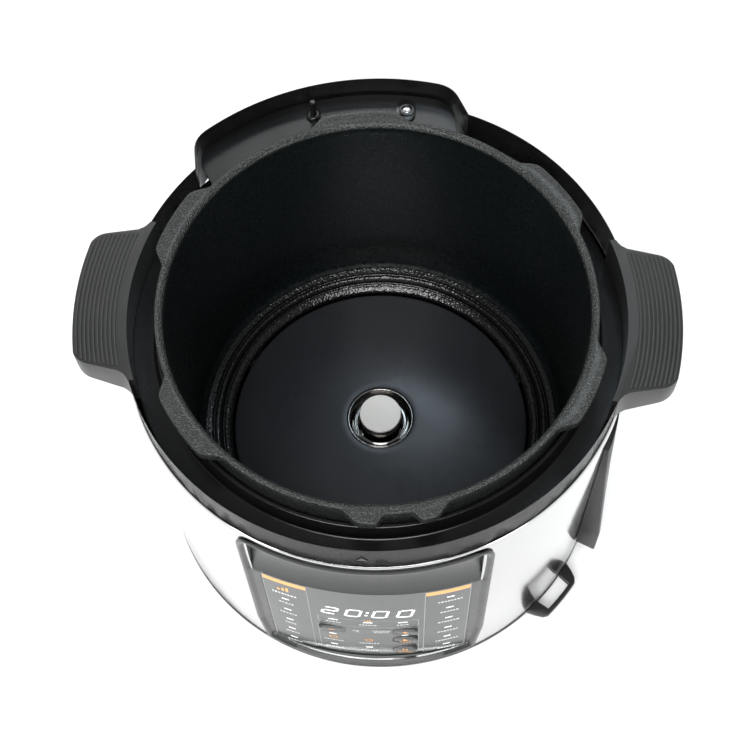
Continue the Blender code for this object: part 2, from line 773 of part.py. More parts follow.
def bezel_surface(azimuth, z, seated):
    """The radius of the bezel's front: a raised rim, a flatter face inside it, and a scoop above the overlay."""
    low, high = BEZEL_Z
    if abs(azimuth) > 0.98 * bezel_half(z) or z <= low + 0.0012 or z >= high - 0.0020:
        return BEZEL_R
    if seated:
        return on_face(-90 + azimuth, OVERLAY_T + GAP)
    surface = on_face(-90 + azimuth, 0.0)
    seat_high = OVERLAY_Z[1] + SEAT_GAP
    if z > seat_high:
        share = (z - seat_high) / (high - 0.0050 - seat_high)
        surface -= 0.0030 * sin(min(1.0, share) * pi)
    return surface


def panel_bezel():
    """A curved frame over the hole in the shell: a rim outside, a slope inwards, and a seat for the overlay."""
    low, high = BEZEL_Z
    seat_low, seat_high = OVERLAY_Z[0] - SEAT_GAP, OVERLAY_Z[1] + SEAT_GAP
    seat_az = asin((OVERLAY_X + SEAT_GAP) / 0.1385) * 180 / pi
    heights = [low, low + 0.0012, low + 0.0042, low + 0.0052, seat_low, seat_low + SEAT_SLOPE]
    heights += [0.036, 0.052, 0.080, 0.110, seat_high - SEAT_SLOPE, seat_high, 0.160, 0.172]
    heights += [high - 0.0062, high - 0.0050, high - 0.0020, high]
    shares = [1.0, 0.985, 0.955, 0.935, 0.78, 0.62, 0.46, 0.31, 0.155]
    slope_az = SEAT_SLOPE / BEZEL_R * 180 / pi
    bm = bmesh.new()
    front, back = [], []
    for z in heights:
        half = bezel_half(z)
        angles = [-half * share for share in shares[:4]] + [-seat_az, -seat_az + slope_az]
        angles += [-half * share for share in shares[4:]]
        angles = angles + [0.0] + [-a for a in reversed(angles)]
        front_row, back_row = [], []
        for azimuth in angles:
            seated = abs(azimuth) < seat_az - 0.5 * slope_az and seat_low < z < seat_high
            surface = bezel_surface(azimuth, z, seated)
            outside = abs(azimuth) > 0.945 * half or z <= low + 0.0042 or z >= high - 0.0055
            rear = SHELL_R + GAP if outside else min(surface - BEZEL_WALL, SHELL_R - SHELL_T - 0.0010)
            front_row.append(bm.verts.new(polar(surface, -90 + azimuth, z)))
            back_row.append(bm.verts.new(polar(rear, -90 + azimuth, z)))
        front.append(front_row)
        back.append(back_row)
    skin_grid(bm, front, back)
    bezel = place("panel_bezel", bm, "panel_gloss")
    half, z0, z1 = DISPLAY_BOX
    window = block((0.0, FACE_Y + 0.004, (z0 + z1) / 2), (2 * half + 0.0012, 0.02, z1 - z0 + 0.0012))
    boolean(bezel, helper("display_window", window))
    stems = bmesh.new()
    for x, z, wide, tall in KEYS.values():
        grown = KEY_CLEARANCE - 0.0015
        key_outline(stems, x, z, wide + grown, tall + grown, -0.150, -0.128)
    boolean(bezel, helper("stem_openings", stems))


def key_outline(bm, x, z, wide, tall, y0, y1):
    """A rectangular prism with cut corners along Y."""
    cut = min(wide, tall) * 0.45
    points = []
    for sx, sz, first in ((1, 1, True), (-1, 1, False), (-1, -1, True), (1, -1, False)):
        pair = [(x + sx * wide, z + sz * (tall - cut)), (x + sx * (wide - cut), z + sz * tall)]
        points += pair if first else pair[::-1]
    near = [bm.verts.new((px, y0, pz)) for px, pz in points]
    far = [bm.verts.new((px, y1, pz)) for px, pz in points]
    faces = [bm.faces.new(near), bm.faces.new(far[::-1])]
    for i in range(len(points)):
        j = (i + 1) % len(points)
        faces.append(bm.faces.new((near[i], near[j], far[j], far[i])))
    bmesh.ops.recalc_face_normals(bm, faces=faces)


def panel_overlay():
    bm = bmesh.new()
    z0, z1 = OVERLAY_Z
    columns = 20
    front, rear = [], []
    for z in (z0, z1):
        xs = [-OVERLAY_X + 2 * OVERLAY_X * i / columns for i in range(columns + 1)]
        front.append([bm.verts.new((x, face_y(x), z)) for x in xs])
        rear.append([bm.verts.new((x, face_y(x, OVERLAY_T), z)) for x in xs])
    skin_grid(bm, front, rear)
    sheet = place("panel_overlay", bm, "overlay")
    holes = bmesh.new()
    for x, z, wide, tall in KEYS.values():
        key_outline(holes, x, z, wide + KEY_CLEARANCE, tall + KEY_CLEARANCE, -0.150, -0.128)
    boolean(sheet, helper("key_openings", holes))


def keys():
    """Each key is a cap in the overlay with a smaller stem that runs back to the board's switch."""
    for name, (x, z, wide, tall) in KEYS.items():
        front = face_y(abs(x) - wide) - 0.0002
        seat = face_y(abs(x) - wide, OVERLAY_T + GAP)
        bm = bmesh.new()
        key_outline(bm, x, z, wide, tall, front, seat - 0.0006 - GAP)
        key = place(name, bm, "key", (x, front, z))
        stem = bmesh.new()
        key_outline(stem, x, z, wide - 0.0017, tall - 0.0017, front + 0.0004, BOARD_Y[0] - 0.0012)
        boolean(key, helper(name + "_stem", stem), "UNION")


def control_board():
    y0, y1 = BOARD_Y
    place("control_board", block((0.0, (y0 + y1) / 2, 0.0810), (0.1020, y1 - y0, 0.1100)), "board")
    half, z0, z1 = DISPLAY_BOX
    front = face_y(half, OVERLAY_T + GAP)
    depth = y0 - GAP - front
    place("display_module", block((0.0, front + depth / 2, (z0 + z1) / 2), (2 * half, depth, z1 - z0)), "display")
    disc = rod((0.0, 0.0), 0.0060, 0.0, 0.0024)
    bmesh.ops.rotate(disc, cent=(0, 0, 0), matrix=Matrix.Rotation(pi / 2, 3, "X"), verts=disc.verts)
    place("buzzer", moved(disc, (-0.018, y0 - GAP, 0.1305)), "component")


def power_supply():
    z = POWER_BOARD_Z
    place("power_board", block((0.0, 0.0, z + 0.0008), (0.0920, 0.0700, 0.0016)), "board")
    top = z + 0.0016 + GAP
    place("transformer", block((-0.024, 0.012, top + 0.009), (0.026, 0.022, 0.018)), "component")
    place("relay", block((0.018, 0.018, top + 0.0075), (0.019, 0.0155, 0.015)), "component")
    place("capacitor", rod((0.020, -0.018), 0.0065, top, top + 0.018, 20), "component")


# The right side: the inlet under its hood, and the cord loop at the base.


def hood_section(z):
    """The hood's half width in degrees and its outer radius at a height."""
    low, high = HOOD_Z
    half = HOOD_HALF + (HOOD_TOP_HALF - HOOD_HALF) * max(0.0, (z - low) / (high - low))
    share = max(0.0, (z - HOOD_TAPER[0]) / (high - HOOD_TAPER[0]))
    return half, HOOD_R + (HOOD_TAPER[1] - HOOD_R) * share


def inlet_hood():
    """A hood that stands off the shell further and further towards its open lower end."""
    bm = bmesh.new()
    z0 = HOOD_Z[0]
    fractions = (-1.0, -0.9, -0.45, 0.0, 0.45, 0.9, 1.0)
    front, back = [], []
    for z in (z0, HOOD_TAPER[0], z0 + 0.070, z0 + 0.110, HOOD_Z[1]):
        half, stand = hood_section(z)
        proud = stand - SHELL_R
        reaches = [SHELL_R + max(0.0012, proud * lean) for lean in HOOD_LEAN]
        front.append([bm.verts.new(polar(r, HOOD_AZ + half * f, z)) for r, f in zip(reaches, fractions)])
        back.append([bm.verts.new(polar(SHELL_R + GAP, HOOD_AZ + half * f, z)) for f in fractions])
    skin_grid(bm, front, back)
    hood = place("inlet_hood", bm, "black_plastic")
    hollow = bmesh.new()
    near, far = [], []
    for z in (z0 - 0.01, HOOD_TAPER[0], z0 + 0.060, z0 + 0.075):
        half, stand = hood_section(z)
        azimuths = [HOOD_AZ + (half - HOOD_CHEEK) * f for f in (-1, 0, 1)]
        near.append([hollow.verts.new(polar(SHELL_R - 0.01, azimuth, z)) for azimuth in azimuths])
        deep = [(stand - SHELL_R) * lean - 0.0018 for lean in (0.95, 0.70, 0.33)]
        far.append([hollow.verts.new(polar(SHELL_R + d, azimuth, z)) for d, azimuth in zip(deep, azimuths)])
    skin_grid(hollow, near, far)
    boolean(hood, helper("hood_hollow", hollow))


def inlet():
    """A flat appliance inlet under the hood. Its mouth faces down, and the plug comes from below."""
    low, high = INLET_Z
    near, far = INLET_R
    middle = (near + far) / 2
    body = block(polar(middle, INLET_AZ, (low + high) / 2), (far - near, 0.0141, high - low), INLET_AZ)
    socket = place("inlet_socket", body, "black_plastic")
    roof = high - 0.0030
    recess = block(polar(middle, INLET_AZ, roof - 0.010), (0.0026, 0.0117, 0.020), INLET_AZ)
    boolean(socket, helper("socket_recess", recess))
    blade = 0.0110
    across = polar(1.0, INLET_AZ + 90)
    for number, offset in enumerate((-0.0038, 0.0, 0.0038), 1):
        spot = polar(middle, INLET_AZ, roof - GAP - blade / 2) + across * offset
        place(f"inlet_contact_{number}", block(spot, (0.0011, 0.0024, blade), INLET_AZ), "contact")


def cord_loop():
    """A loop at the foot of the shell, which closes it."""
    low, high = LOOP_Z
    root = BASE_R + GAP
    outline = arc(root, (LOOP_AZ - 8.5, LOOP_AZ + 8.5), 7)
    tip = [polar(LOOP_R - 0.0030, LOOP_AZ + 6.6), polar(LOOP_R, LOOP_AZ + 5.0)]
    tip += [polar(LOOP_R, LOOP_AZ), polar(LOOP_R, LOOP_AZ - 5.0), polar(LOOP_R - 0.0030, LOOP_AZ - 6.6)]
    loop = place("cord_loop", prism(outline + [(p.x, p.y) for p in tip], low, high), "black_plastic")
    inner = arc(root - 0.0010, (LOOP_AZ - 4.7, LOOP_AZ + 4.7), 5)
    inner += arc(LOOP_R - 0.0026, (LOOP_AZ + 4.3, LOOP_AZ - 4.3), 5)
    boolean(loop, helper("loop_window", prism(inner, low - 0.01, high + 0.01)))


def build():
    clear_scene()
    make_materials()
    base_pan()
    feet()
    pot_legs()
    outer_shell()
    collar()
    tray_cover()
    tray_screw()
    handle("handle_right", 1)
    handle("handle_left", -1)
    pot_housing()
    heating_plate()
    heating_element()
    spring_plate()
    plate_fixings()
    pressure_switch()
    thermal_cutout()
    sensor_guide()
    sensor_cap()
    sensor_spring()
    sensor_clip()
    lid_pin()
    lid_pin_bush()
    lid_pin_spring()
    lid_switch()
    panel_bezel()
    panel_overlay()
    keys()
    control_board()
    power_supply()
    inlet_hood()
    inlet()
    cord_loop()


build()
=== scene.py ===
# %% [markdown]
# # The base of an electric multi-cooker
# This lesson dresses a finished CAD model. The CAD gives every size and place, and this script gives the looks:
# finer meshes for the pieces that show, and a finish with real grain on every surface.
# The frame comes first, because every later step reads its places from it.

# %% Open the frame
import json
from math import asin, cos, degrees, pi, radians, sin, sqrt

import bmesh
import bpy
from mathutils import Matrix, Vector


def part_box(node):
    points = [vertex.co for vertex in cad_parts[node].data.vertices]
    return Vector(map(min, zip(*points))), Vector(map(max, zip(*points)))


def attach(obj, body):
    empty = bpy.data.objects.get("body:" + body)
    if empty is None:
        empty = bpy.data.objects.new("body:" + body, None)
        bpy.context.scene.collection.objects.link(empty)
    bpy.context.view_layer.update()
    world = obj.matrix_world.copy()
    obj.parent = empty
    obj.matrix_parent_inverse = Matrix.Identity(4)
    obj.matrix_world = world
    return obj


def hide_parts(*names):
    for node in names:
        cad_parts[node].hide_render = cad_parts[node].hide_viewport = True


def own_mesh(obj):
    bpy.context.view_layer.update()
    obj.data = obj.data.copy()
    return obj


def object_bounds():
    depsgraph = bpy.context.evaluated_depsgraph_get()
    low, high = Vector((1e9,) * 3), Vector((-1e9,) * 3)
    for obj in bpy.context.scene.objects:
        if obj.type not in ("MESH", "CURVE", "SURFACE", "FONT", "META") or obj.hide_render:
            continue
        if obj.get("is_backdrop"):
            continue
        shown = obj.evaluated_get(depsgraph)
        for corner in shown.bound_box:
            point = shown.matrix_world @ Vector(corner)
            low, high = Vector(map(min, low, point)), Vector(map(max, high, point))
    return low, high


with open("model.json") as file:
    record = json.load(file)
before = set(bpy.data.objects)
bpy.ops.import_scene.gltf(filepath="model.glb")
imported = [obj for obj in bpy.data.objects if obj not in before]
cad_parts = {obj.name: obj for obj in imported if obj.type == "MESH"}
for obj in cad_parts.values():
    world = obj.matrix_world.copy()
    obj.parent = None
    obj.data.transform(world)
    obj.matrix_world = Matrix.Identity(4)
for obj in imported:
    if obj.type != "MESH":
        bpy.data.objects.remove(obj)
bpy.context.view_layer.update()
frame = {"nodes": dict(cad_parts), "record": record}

# %% [markdown]
# A few sizes are used again and again, so they are read once. The cooker is round about the Z axis, so one
# corner of a node's box is also a radius.

# %% Read the main sizes
pot_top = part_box("pot_housing")[1].z
plate_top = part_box("heating_plate")[1].z
plate_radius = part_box("heating_plate")[1].x
rim_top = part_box("collar")[1].z
rim_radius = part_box("outer_shell")[1].x - 0.0016
tray_radius = 0.1565  # the back of the bay
shell_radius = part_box("outer_shell")[1].x
shell_low, shell_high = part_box("outer_shell")[0].z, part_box("outer_shell")[1].z
handle_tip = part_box("handle_right")[1].x
sensor_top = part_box("sensor_cap")[1].z
print(
    "pot top, rim top, shell radius in mm:", round(1000 * pot_top, 1), round(1000 * rim_top, 1),
    round(1000 * shell_radius, 1),
)

# %% [markdown]
# ## Tools for the pieces
# Most of the cooker is turned, so the main tool spins an outline round the axis. `soften` rounds the outline's
# corners first: a moulded or stamped edge is never sharp, and its small radius is what catches the light.

# %% A tool that rounds the corners of an outline
def soften(points, reach=0.0006, count=3, closed=True):
    result = []
    total = len(points)
    for i, point in enumerate(points):
        here = Vector(point[:2])
        if not closed and i in (0, total - 1):
            result.append(tuple(here))
            continue
        before, after = Vector(points[i - 1][:2]), Vector(points[(i + 1) % total][:2])
        size = point[2] if len(point) > 2 else reach
        first = here + (before - here).normalized() * min(size, 0.45 * (before - here).length)
        last = here + (after - here).normalized() * min(size, 0.45 * (after - here).length)
        for step in range(count + 1):
            t = step / count
            result.append(tuple(first * (1 - t) ** 2 + here * 2 * t * (1 - t) + last * t * t))
    return result


# %% A tool that spins an outline round the axis
def turn(outline, steps=240, sweep=360.0, start=0.0, closed=True):
    bm = bmesh.new()
    verts = [bm.verts.new((r, 0.0, z)) for r, z in outline]
    edges = [bm.edges.new(pair) for pair in zip(verts, verts[1:])]
    if closed:
        edges.append(bm.edges.new((verts[-1], verts[0])))
    whole = sweep == 360.0
    bmesh.ops.spin(
        bm, geom=verts + edges, cent=(0, 0, 0), axis=(0, 0, 1), angle=radians(sweep), steps=steps, use_merge=whole
    )
    bmesh.ops.remove_doubles(bm, verts=bm.verts, dist=1e-6)
    if not whole:
        bmesh.ops.holes_fill(bm, edges=[e for e in bm.edges if e.is_boundary])
    bmesh.ops.rotate(bm, cent=(0, 0, 0), matrix=Matrix.Rotation(radians(start), 3, "Z"), verts=bm.verts)
    bmesh.ops.recalc_face_normals(bm, faces=bm.faces)
    return bm


# %% [markdown]
# The rest is cut from flat outlines, like a biscuit from dough: a face is pulled up into a slab, and its edges
# are bevelled. `add_to` joins several shapes into one piece.

# %% A tool that raises a slab from a flat outline
def slab(outline, low, high, bevel=0.0, segments=2, top_only=False):
    bm = bmesh.new()
    face = bm.faces.new([bm.verts.new((x, y, low)) for x, y in outline])
    raised = bmesh.ops.extrude_face_region(bm, geom=[face])["geom"]
    bmesh.ops.translate(bm, vec=(0, 0, high - low), verts=[g for g in raised if isinstance(g, bmesh.types.BMVert)])
    bmesh.ops.recalc_face_normals(bm, faces=bm.faces)
    if bevel:
        level = [e for e in bm.edges if abs(e.verts[0].co.z - e.verts[1].co.z) < 1e-7]
        edges = [e for e in level if e.verts[0].co.z > high - 1e-6] if top_only else level
        round_edges(bm, edges, bevel, segments)
    return bm


def round_edges(bm, edges, size, segments=2):
    bmesh.ops.bevel(
        bm, geom=edges, offset=size, offset_type="OFFSET", segments=segments, profile=0.5, affect="EDGES",
        clamp_overlap=True, material=-1,
    )


def add_to(bm, other):
    scratch = bpy.data.meshes.new("scratch")
    other.to_mesh(scratch)
    other.free()
    bm.from_mesh(scratch)
    bpy.data.meshes.remove(scratch)
    return bm


def polar(radius, azimuth, z=None):
    point = (radius * cos(radians(azimuth)), radius * sin(radians(azimuth)))
    return point if z is None else (*point, z)


def arc(radius, start, stop, count):
    return [polar(radius, start + (stop - start) * i / (count - 1)) for i in range(count)]


# %% [markdown]
# Every piece is finished the same way. It gets smooth shading with sharp creases kept and its finish, rides on
# its CAD body, and hides the CAD node that it replaces. The print-out counts open edges, which should be none on a
# closed piece.

# %% A tool that finishes a piece
def finish_piece(name, bm, material, body="housing", stands_for=(), sharp=32.0):
    open_edges = sum(1 for e in bm.edges if not e.is_manifold)
    mesh = bpy.data.meshes.new(name)
    bm.to_mesh(mesh)
    bm.free()
    mesh.shade_smooth()
    mesh.set_sharp_from_angle(angle=radians(sharp))
    mesh.materials.append(material)
    piece = bpy.data.objects.new(name, mesh)
    bpy.context.scene.collection.objects.link(piece)
    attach(piece, body)
    if stands_for:
        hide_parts(*stands_for)
    print(f"{name}: {len(mesh.polygons)} faces, {open_edges} open edges")
    return piece


# %% [markdown]
# ## Camera, floor and light
# The cooker is seen steeply from above, as a cook looks into it. A long lens from less than a metre gives the
# strong taper of the steel wall towards the table.

# %% The camera
lens_mm, film_wide, distance = 69.4, 36.0, 0.867
look_down, look_round, tilt = radians(63.89), radians(5.0), radians(-2.0)
forward = Vector((0, cos(look_down), -sin(look_down)))
upright = Vector((0, sin(look_down), cos(look_down)))
side = Vector((1, 0, 0)) * cos(tilt) + upright * sin(tilt)
upright = upright * cos(tilt) - Vector((1, 0, 0)) * sin(tilt)
aim = Vector((0, 0, 0.150)) - side * 0.00047 - upright * 0.0058
swing = Matrix.Rotation(look_round, 3, "Z")
forward, side, upright, aim = swing @ forward, swing @ side, swing @ upright, swing @ aim
camera = bpy.data.objects.new("camera", bpy.data.cameras.new("camera"))
camera.data.lens, camera.data.sensor_width = lens_mm, film_wide
camera.matrix_world = Matrix((side, upright, -forward)).transposed().to_4x4()
camera.location = aim - forward * distance
bpy.context.scene.collection.objects.link(camera)
bpy.context.scene.camera = camera
print("camera at", [round(c, 3) for c in camera.location])

# %% [markdown]
# The steel and the glossy enamel show whatever stands round them. The room is bright at the horizon and dim
# overhead, so the steel stays pale and the plastic dark, and soft lamps draw the highlights. The plain view
# transform keeps a white floor white.

# %% The room and the floor
scene = bpy.context.scene
scene.view_settings.view_transform = "Standard"
room = bpy.data.worlds.new("room")
scene.world = room
room.use_nodes = True
room_nodes, room_links = room.node_tree.nodes, room.node_tree.links
room_nodes.clear()
sky = room_nodes.new("ShaderNodeBackground")
place = room_nodes.new("ShaderNodeTexCoord")
split = room_nodes.new("ShaderNodeSeparateXYZ")
ramp = room_nodes.new("ShaderNodeValToRGB")
ramp.color_ramp.elements[0].position = 0.30
ramp.color_ramp.elements[0].color = (1.00, 1.00, 1.00, 1)
ramp.color_ramp.elements[1].position = 0.85
ramp.color_ramp.elements[1].color = (0.20, 0.21, 0.22, 1)
room_links.new(place.outputs["Generated"], split.inputs[0])
room_links.new(split.outputs["Z"], ramp.inputs[0])
room_links.new(ramp.outputs[0], sky.inputs["Color"])
room_links.new(sky.outputs[0], room_nodes.new("ShaderNodeOutputWorld").inputs[0])
floor_mesh = bmesh.new()
bmesh.ops.create_grid(floor_mesh, x_segments=1, y_segments=1, size=3.0)
floor_data = bpy.data.meshes.new("floor")
floor_mesh.to_mesh(floor_data)
floor_mesh.free()
floor = bpy.data.objects.new("floor", floor_data)
scene.collection.objects.link(floor)
floor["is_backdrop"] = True
floor_paint = bpy.data.materials.new("floor_paint")
floor_paint.use_nodes = True
floor_paint.node_tree.nodes["Principled BSDF"].inputs["Base Color"].default_value = (0.93, 0.93, 0.93, 1)
floor_paint.node_tree.nodes["Principled BSDF"].inputs["Roughness"].default_value = 0.9
floor_data.materials.append(floor_paint)


# %% The lamps
def lamp(name, spot, target, size, power, tint=(1.0, 1.0, 1.0)):
    data = bpy.data.lights.new(name, "AREA")
    data.shape = "RECTANGLE"
    data.size, data.size_y = size
    data.energy = power
    data.color = tint
    made = bpy.data.objects.new(name, data)
    made.location = spot
    made.rotation_euler = (Vector(target) - Vector(spot)).to_track_quat("-Z", "Y").to_euler()
    scene.collection.objects.link(made)


lamp("front_top_strip", (-0.10, -1.05, 1.30), (0, 0, 0.15), (1.2, 0.22), 15)
lamp("behind_camera_box", (0.0, -0.70, 1.80), (0, 0, 0.1), (0.8, 0.5), 13)
lamp("back_window", (-0.15, 1.25, 1.35), (0, 0, 0.15), (1.4, 0.30), 8)
lamp("cool_box", (0.14, 0.86, 1.75), (0, 0, 0.1), (0.36, 0.36), 3.5, (0.74, 0.90, 1.0))
lamp("front_left_box", (-0.95, -1.15, 0.95), (0, 0, 0.15), (0.42, 0.42), 4)
lamp("front_right_box", (1.05, -1.05, 0.85), (0, 0, 0.15), (0.36, 0.36), 3)
lamp("left_window", (-1.5, 0.35, 0.9), (0, 0, 0.15), (0.5, 0.5), 3)

# %% [markdown]
# ## Finishes
# Grain, brush lines and hammered enamel are used by several finishes, so each is a node group: it takes a
# position on the object and its own values, and gives a roughness, a colour or a normal. The shader itself stays
# in each material.

# %% A helper that starts a node group
def start_group(name, inputs, outputs):
    group = bpy.data.node_groups.new(name, "ShaderNodeTree")
    for label, kind, value in inputs:
        socket = group.interface.new_socket(name=label, in_out="INPUT", socket_type=kind)
        if value is not None:
            socket.default_value = value
    for label, kind in outputs:
        group.interface.new_socket(name=label, in_out="OUTPUT", socket_type=kind)
    entry, leave = group.nodes.new("NodeGroupInput"), group.nodes.new("NodeGroupOutput")
    return group, entry.outputs, leave.inputs


def noise(group, vector, scale, detail=3.0):
    node = group.nodes.new("ShaderNodeTexNoise")
    node.inputs["Detail"].default_value = detail
    group.links.new(vector, node.inputs["Vector"])
    if isinstance(scale, (int, float)):
        node.inputs["Scale"].default_value = scale
    else:
        group.links.new(scale, node.inputs["Scale"])
    return node.outputs["Fac"]


def sum_of(group, a, b, operation="ADD"):
    node = group.nodes.new("ShaderNodeMath")
    node.operation = operation
    for socket, value in zip(node.inputs, (a, b)):
        if isinstance(value, (int, float)):
            socket.default_value = value
        else:
            group.links.new(value, socket)
    return node.outputs[0]


def spread(group, value, low, high, to_low, to_high):
    node = group.nodes.new("ShaderNodeMapRange")
    group.links.new(value, node.inputs["Value"])
    for label, amount in (("From Min", low), ("From Max", high), ("To Min", to_low), ("To Max", to_high)):
        if isinstance(amount, (int, float)):
            node.inputs[label].default_value = amount
        else:
            group.links.new(amount, node.inputs[label])
    return node.outputs[0]


def bump(group, height, depth):
    node = group.nodes.new("ShaderNodeBump")
    node.inputs["Distance"].default_value = 0.001
    group.links.new(height, node.inputs["Height"])
    if isinstance(depth, (int, float)):
        node.inputs["Strength"].default_value = depth
    else:
        group.links.new(depth, node.inputs["Strength"])
    return node.outputs["Normal"]


def blend_colours(group, share, first, second):
    node = group.nodes.new("ShaderNodeMix")
    node.data_type = "RGBA"
    group.links.new(share, node.inputs[0])
    for socket, value in ((node.inputs[6], first), (node.inputs[7], second)):
        if isinstance(value, tuple):
            socket.default_value = value
        else:
            group.links.new(value, socket)
    return node.outputs[2]


# %% [markdown]
# Moulded plastic carries a fine even grain from its mould, a little uneven gloss, and a trace of handling where
# the tone drifts. Spark-eroded moulds give that grain, so small noise stands for it.

# %% The grain of moulded plastic
moulded, given, result = start_group(
    "Moulded grain",
    [
        ("Place", "NodeSocketVector", None), ("Grain per metre", "NodeSocketFloat", 2600.0),
        ("Depth", "NodeSocketFloat", 0.10), ("Gloss", "NodeSocketFloat", 0.4),
        ("Colour", "NodeSocketColor", (0.02, 0.02, 0.02, 1)), ("Drift", "NodeSocketFloat", 0.15),
    ],
    [("Colour", "NodeSocketColor"), ("Roughness", "NodeSocketFloat"), ("Normal", "NodeSocketVector")],
)
fine = noise(moulded, given["Place"], given["Grain per metre"], 2.0)
broad = noise(moulded, given["Place"], 22.0, 4.0)
uneven = spread(moulded, broad, 0.3, 0.7, -0.05, 0.05)
moulded.links.new(
    sum_of(moulded, sum_of(moulded, given["Gloss"], uneven), spread(moulded, fine, 0.3, 0.7, -0.03, 0.03)),
    result["Roughness"],
)
moulded.links.new(bump(moulded, fine, given["Depth"]), result["Normal"])
lighter = moulded.nodes.new("ShaderNodeHueSaturation")
moulded.links.new(given["Colour"], lighter.inputs["Color"])
one_less = sum_of(moulded, 1.0, given["Drift"], "SUBTRACT")
one_more = sum_of(moulded, 1.0, given["Drift"])
moulded.links.new(spread(moulded, broad, 0.3, 0.7, one_less, one_more), lighter.inputs["Value"])
moulded.links.new(lighter.outputs[0], result["Colour"])

# %% [markdown]
# The steel wall is rolled and brushed round the body, so its lines are long in plan and very thin in height.
# Stretching noise along the height gives thousands of fine level lines.

# %% Brushed steel lines
brushed, given, result = start_group(
    "Brushed lines",
    [("Place", "NodeSocketVector", None), ("Lines", "NodeSocketFloat", 1.0), ("Depth", "NodeSocketFloat", 0.05),
     ("Gloss", "NodeSocketFloat", 0.2), ("Colour", "NodeSocketColor", (0.8, 0.8, 0.8, 1))],
    [("Colour", "NodeSocketColor"), ("Roughness", "NodeSocketFloat"), ("Normal", "NodeSocketVector")],
)
stretch = brushed.nodes.new("ShaderNodeMapping")
stretch.inputs["Scale"].default_value = (6.0, 6.0, 2600.0)
brushed.links.new(given["Place"], stretch.inputs["Vector"])
lines = noise(brushed, stretch.outputs[0], given["Lines"], 4.0)
brushed.links.new(
    sum_of(brushed, given["Gloss"], spread(brushed, lines, 0.3, 0.7, -0.05, 0.06)), result["Roughness"],
)
brushed.links.new(bump(brushed, lines, given["Depth"]), result["Normal"])
tone = brushed.nodes.new("ShaderNodeHueSaturation")
brushed.links.new(given["Colour"], tone.inputs["Color"])
brushed.links.new(spread(brushed, lines, 0.3, 0.7, 0.95, 1.03), tone.inputs["Value"])
brushed.links.new(tone.outputs[0], result["Colour"])

# %% [markdown]
# The pot is cast and sprayed with thick black enamel that dries into small pits and ridges, like orange peel.
# Two sizes of pit are mixed, and the high spots are painted a little greyer, a painted sheen where light would catch
# the ridges.

# %% Hammered enamel
enamel, given, result = start_group(
    "Hammered enamel",
    [
        ("Place", "NodeSocketVector", None), ("Pits per metre", "NodeSocketFloat", 620.0),
        ("Depth", "NodeSocketFloat", 0.6), ("Gloss", "NodeSocketFloat", 0.3),
        ("Low colour", "NodeSocketColor", (0.01, 0.01, 0.01, 1)),
        # the lighter colour of the high spots is a painted sheen on the ridges
        ("Painted ridge sheen", "NodeSocketColor", (0.09, 0.10, 0.095, 1)),
    ],
    [("Colour", "NodeSocketColor"), ("Roughness", "NodeSocketFloat"), ("Normal", "NodeSocketVector")],
)
cells = enamel.nodes.new("ShaderNodeTexVoronoi")
cells.feature = "SMOOTH_F1"
cells.inputs["Smoothness"].default_value = 0.6
enamel.links.new(given["Place"], cells.inputs["Vector"])
enamel.links.new(given["Pits per metre"], cells.inputs["Scale"])
peel = noise(enamel, given["Place"], sum_of(enamel, given["Pits per metre"], 0.7, "MULTIPLY"), 2.0)
height = sum_of(enamel, sum_of(enamel, cells.outputs["Distance"], 0.8, "MULTIPLY"), peel)
enamel.links.new(bump(enamel, height, given["Depth"]), result["Normal"])
enamel.links.new(sum_of(enamel, given["Gloss"], spread(enamel, peel, 0.3, 0.7, -0.06, 0.10)), result["Roughness"])
# raised spots blend towards the painted sheen colour
enamel.links.new(
    blend_colours(enamel, spread(enamel, height, 0.7, 1.15, 0.0, 1.0), given["Low colour"], given["Painted ridge sheen"]),
    result["Colour"],
)
print("node groups:", [g.name for g in bpy.data.node_groups])


# %% [markdown]
# `coat` makes a material from one of these groups. The group's outputs go to the shader, and everything that is
# the same all over is set on the shader itself.

# %% A helper that makes a finish
def coat(name, group, settings, metallic=0.0, clear=0.0, clear_rough=0.08, specular=0.5):
    made = bpy.data.materials.new(name)
    made.use_nodes = True
    tree = made.node_tree
    shader = tree.nodes["Principled BSDF"]
    shader.inputs["Metallic"].default_value = metallic
    shader.inputs["Specular IOR Level"].default_value = specular
    shader.inputs["Coat Weight"].default_value = clear
    shader.inputs["Coat Roughness"].default_value = clear_rough
    where = tree.nodes.new("ShaderNodeTexCoord")
    used = tree.nodes.new("ShaderNodeGroup")
    used.node_tree = group
    tree.links.new(where.outputs["Object"], used.inputs["Place"])
    for label, value in settings.items():
        used.inputs[label].default_value = value
    tree.links.new(used.outputs["Colour"], shader.inputs["Base Color"])
    tree.links.new(used.outputs["Roughness"], shader.inputs["Roughness"])
    tree.links.new(used.outputs["Normal"], shader.inputs["Normal"])
    return made


# %% The finishes of this cooker
collar_plastic = coat("collar_plastic", moulded, {"Colour": (0.006, 0.006, 0.006, 1), "Gloss": 0.23, "Depth": 0.04})
handle_plastic = coat("handle_plastic", moulded, {"Colour": (0.017, 0.017, 0.016, 1), "Gloss": 0.42, "Depth": 0.10})
base_plastic = coat(
    "base_plastic", moulded, {"Colour": (0.008, 0.008, 0.008, 1), "Gloss": 0.38, "Depth": 0.12}, specular=0.35,
)
bezel_plastic = coat(
    "bezel_plastic", moulded, {"Colour": (0.012, 0.013, 0.013, 1), "Gloss": 0.30, "Depth": 0.02, "Drift": 0.05},
)
overlay_film = coat(
    "overlay_film", moulded, {"Colour": (0.040, 0.043, 0.043, 1), "Gloss": 0.22, "Depth": 0.015, "Drift": 0.04},
)
shell_steel = coat(
    "shell_steel", brushed, {"Colour": (0.60, 0.60, 0.597, 1), "Gloss": 0.12, "Depth": 0.015}, metallic=1.0,
)
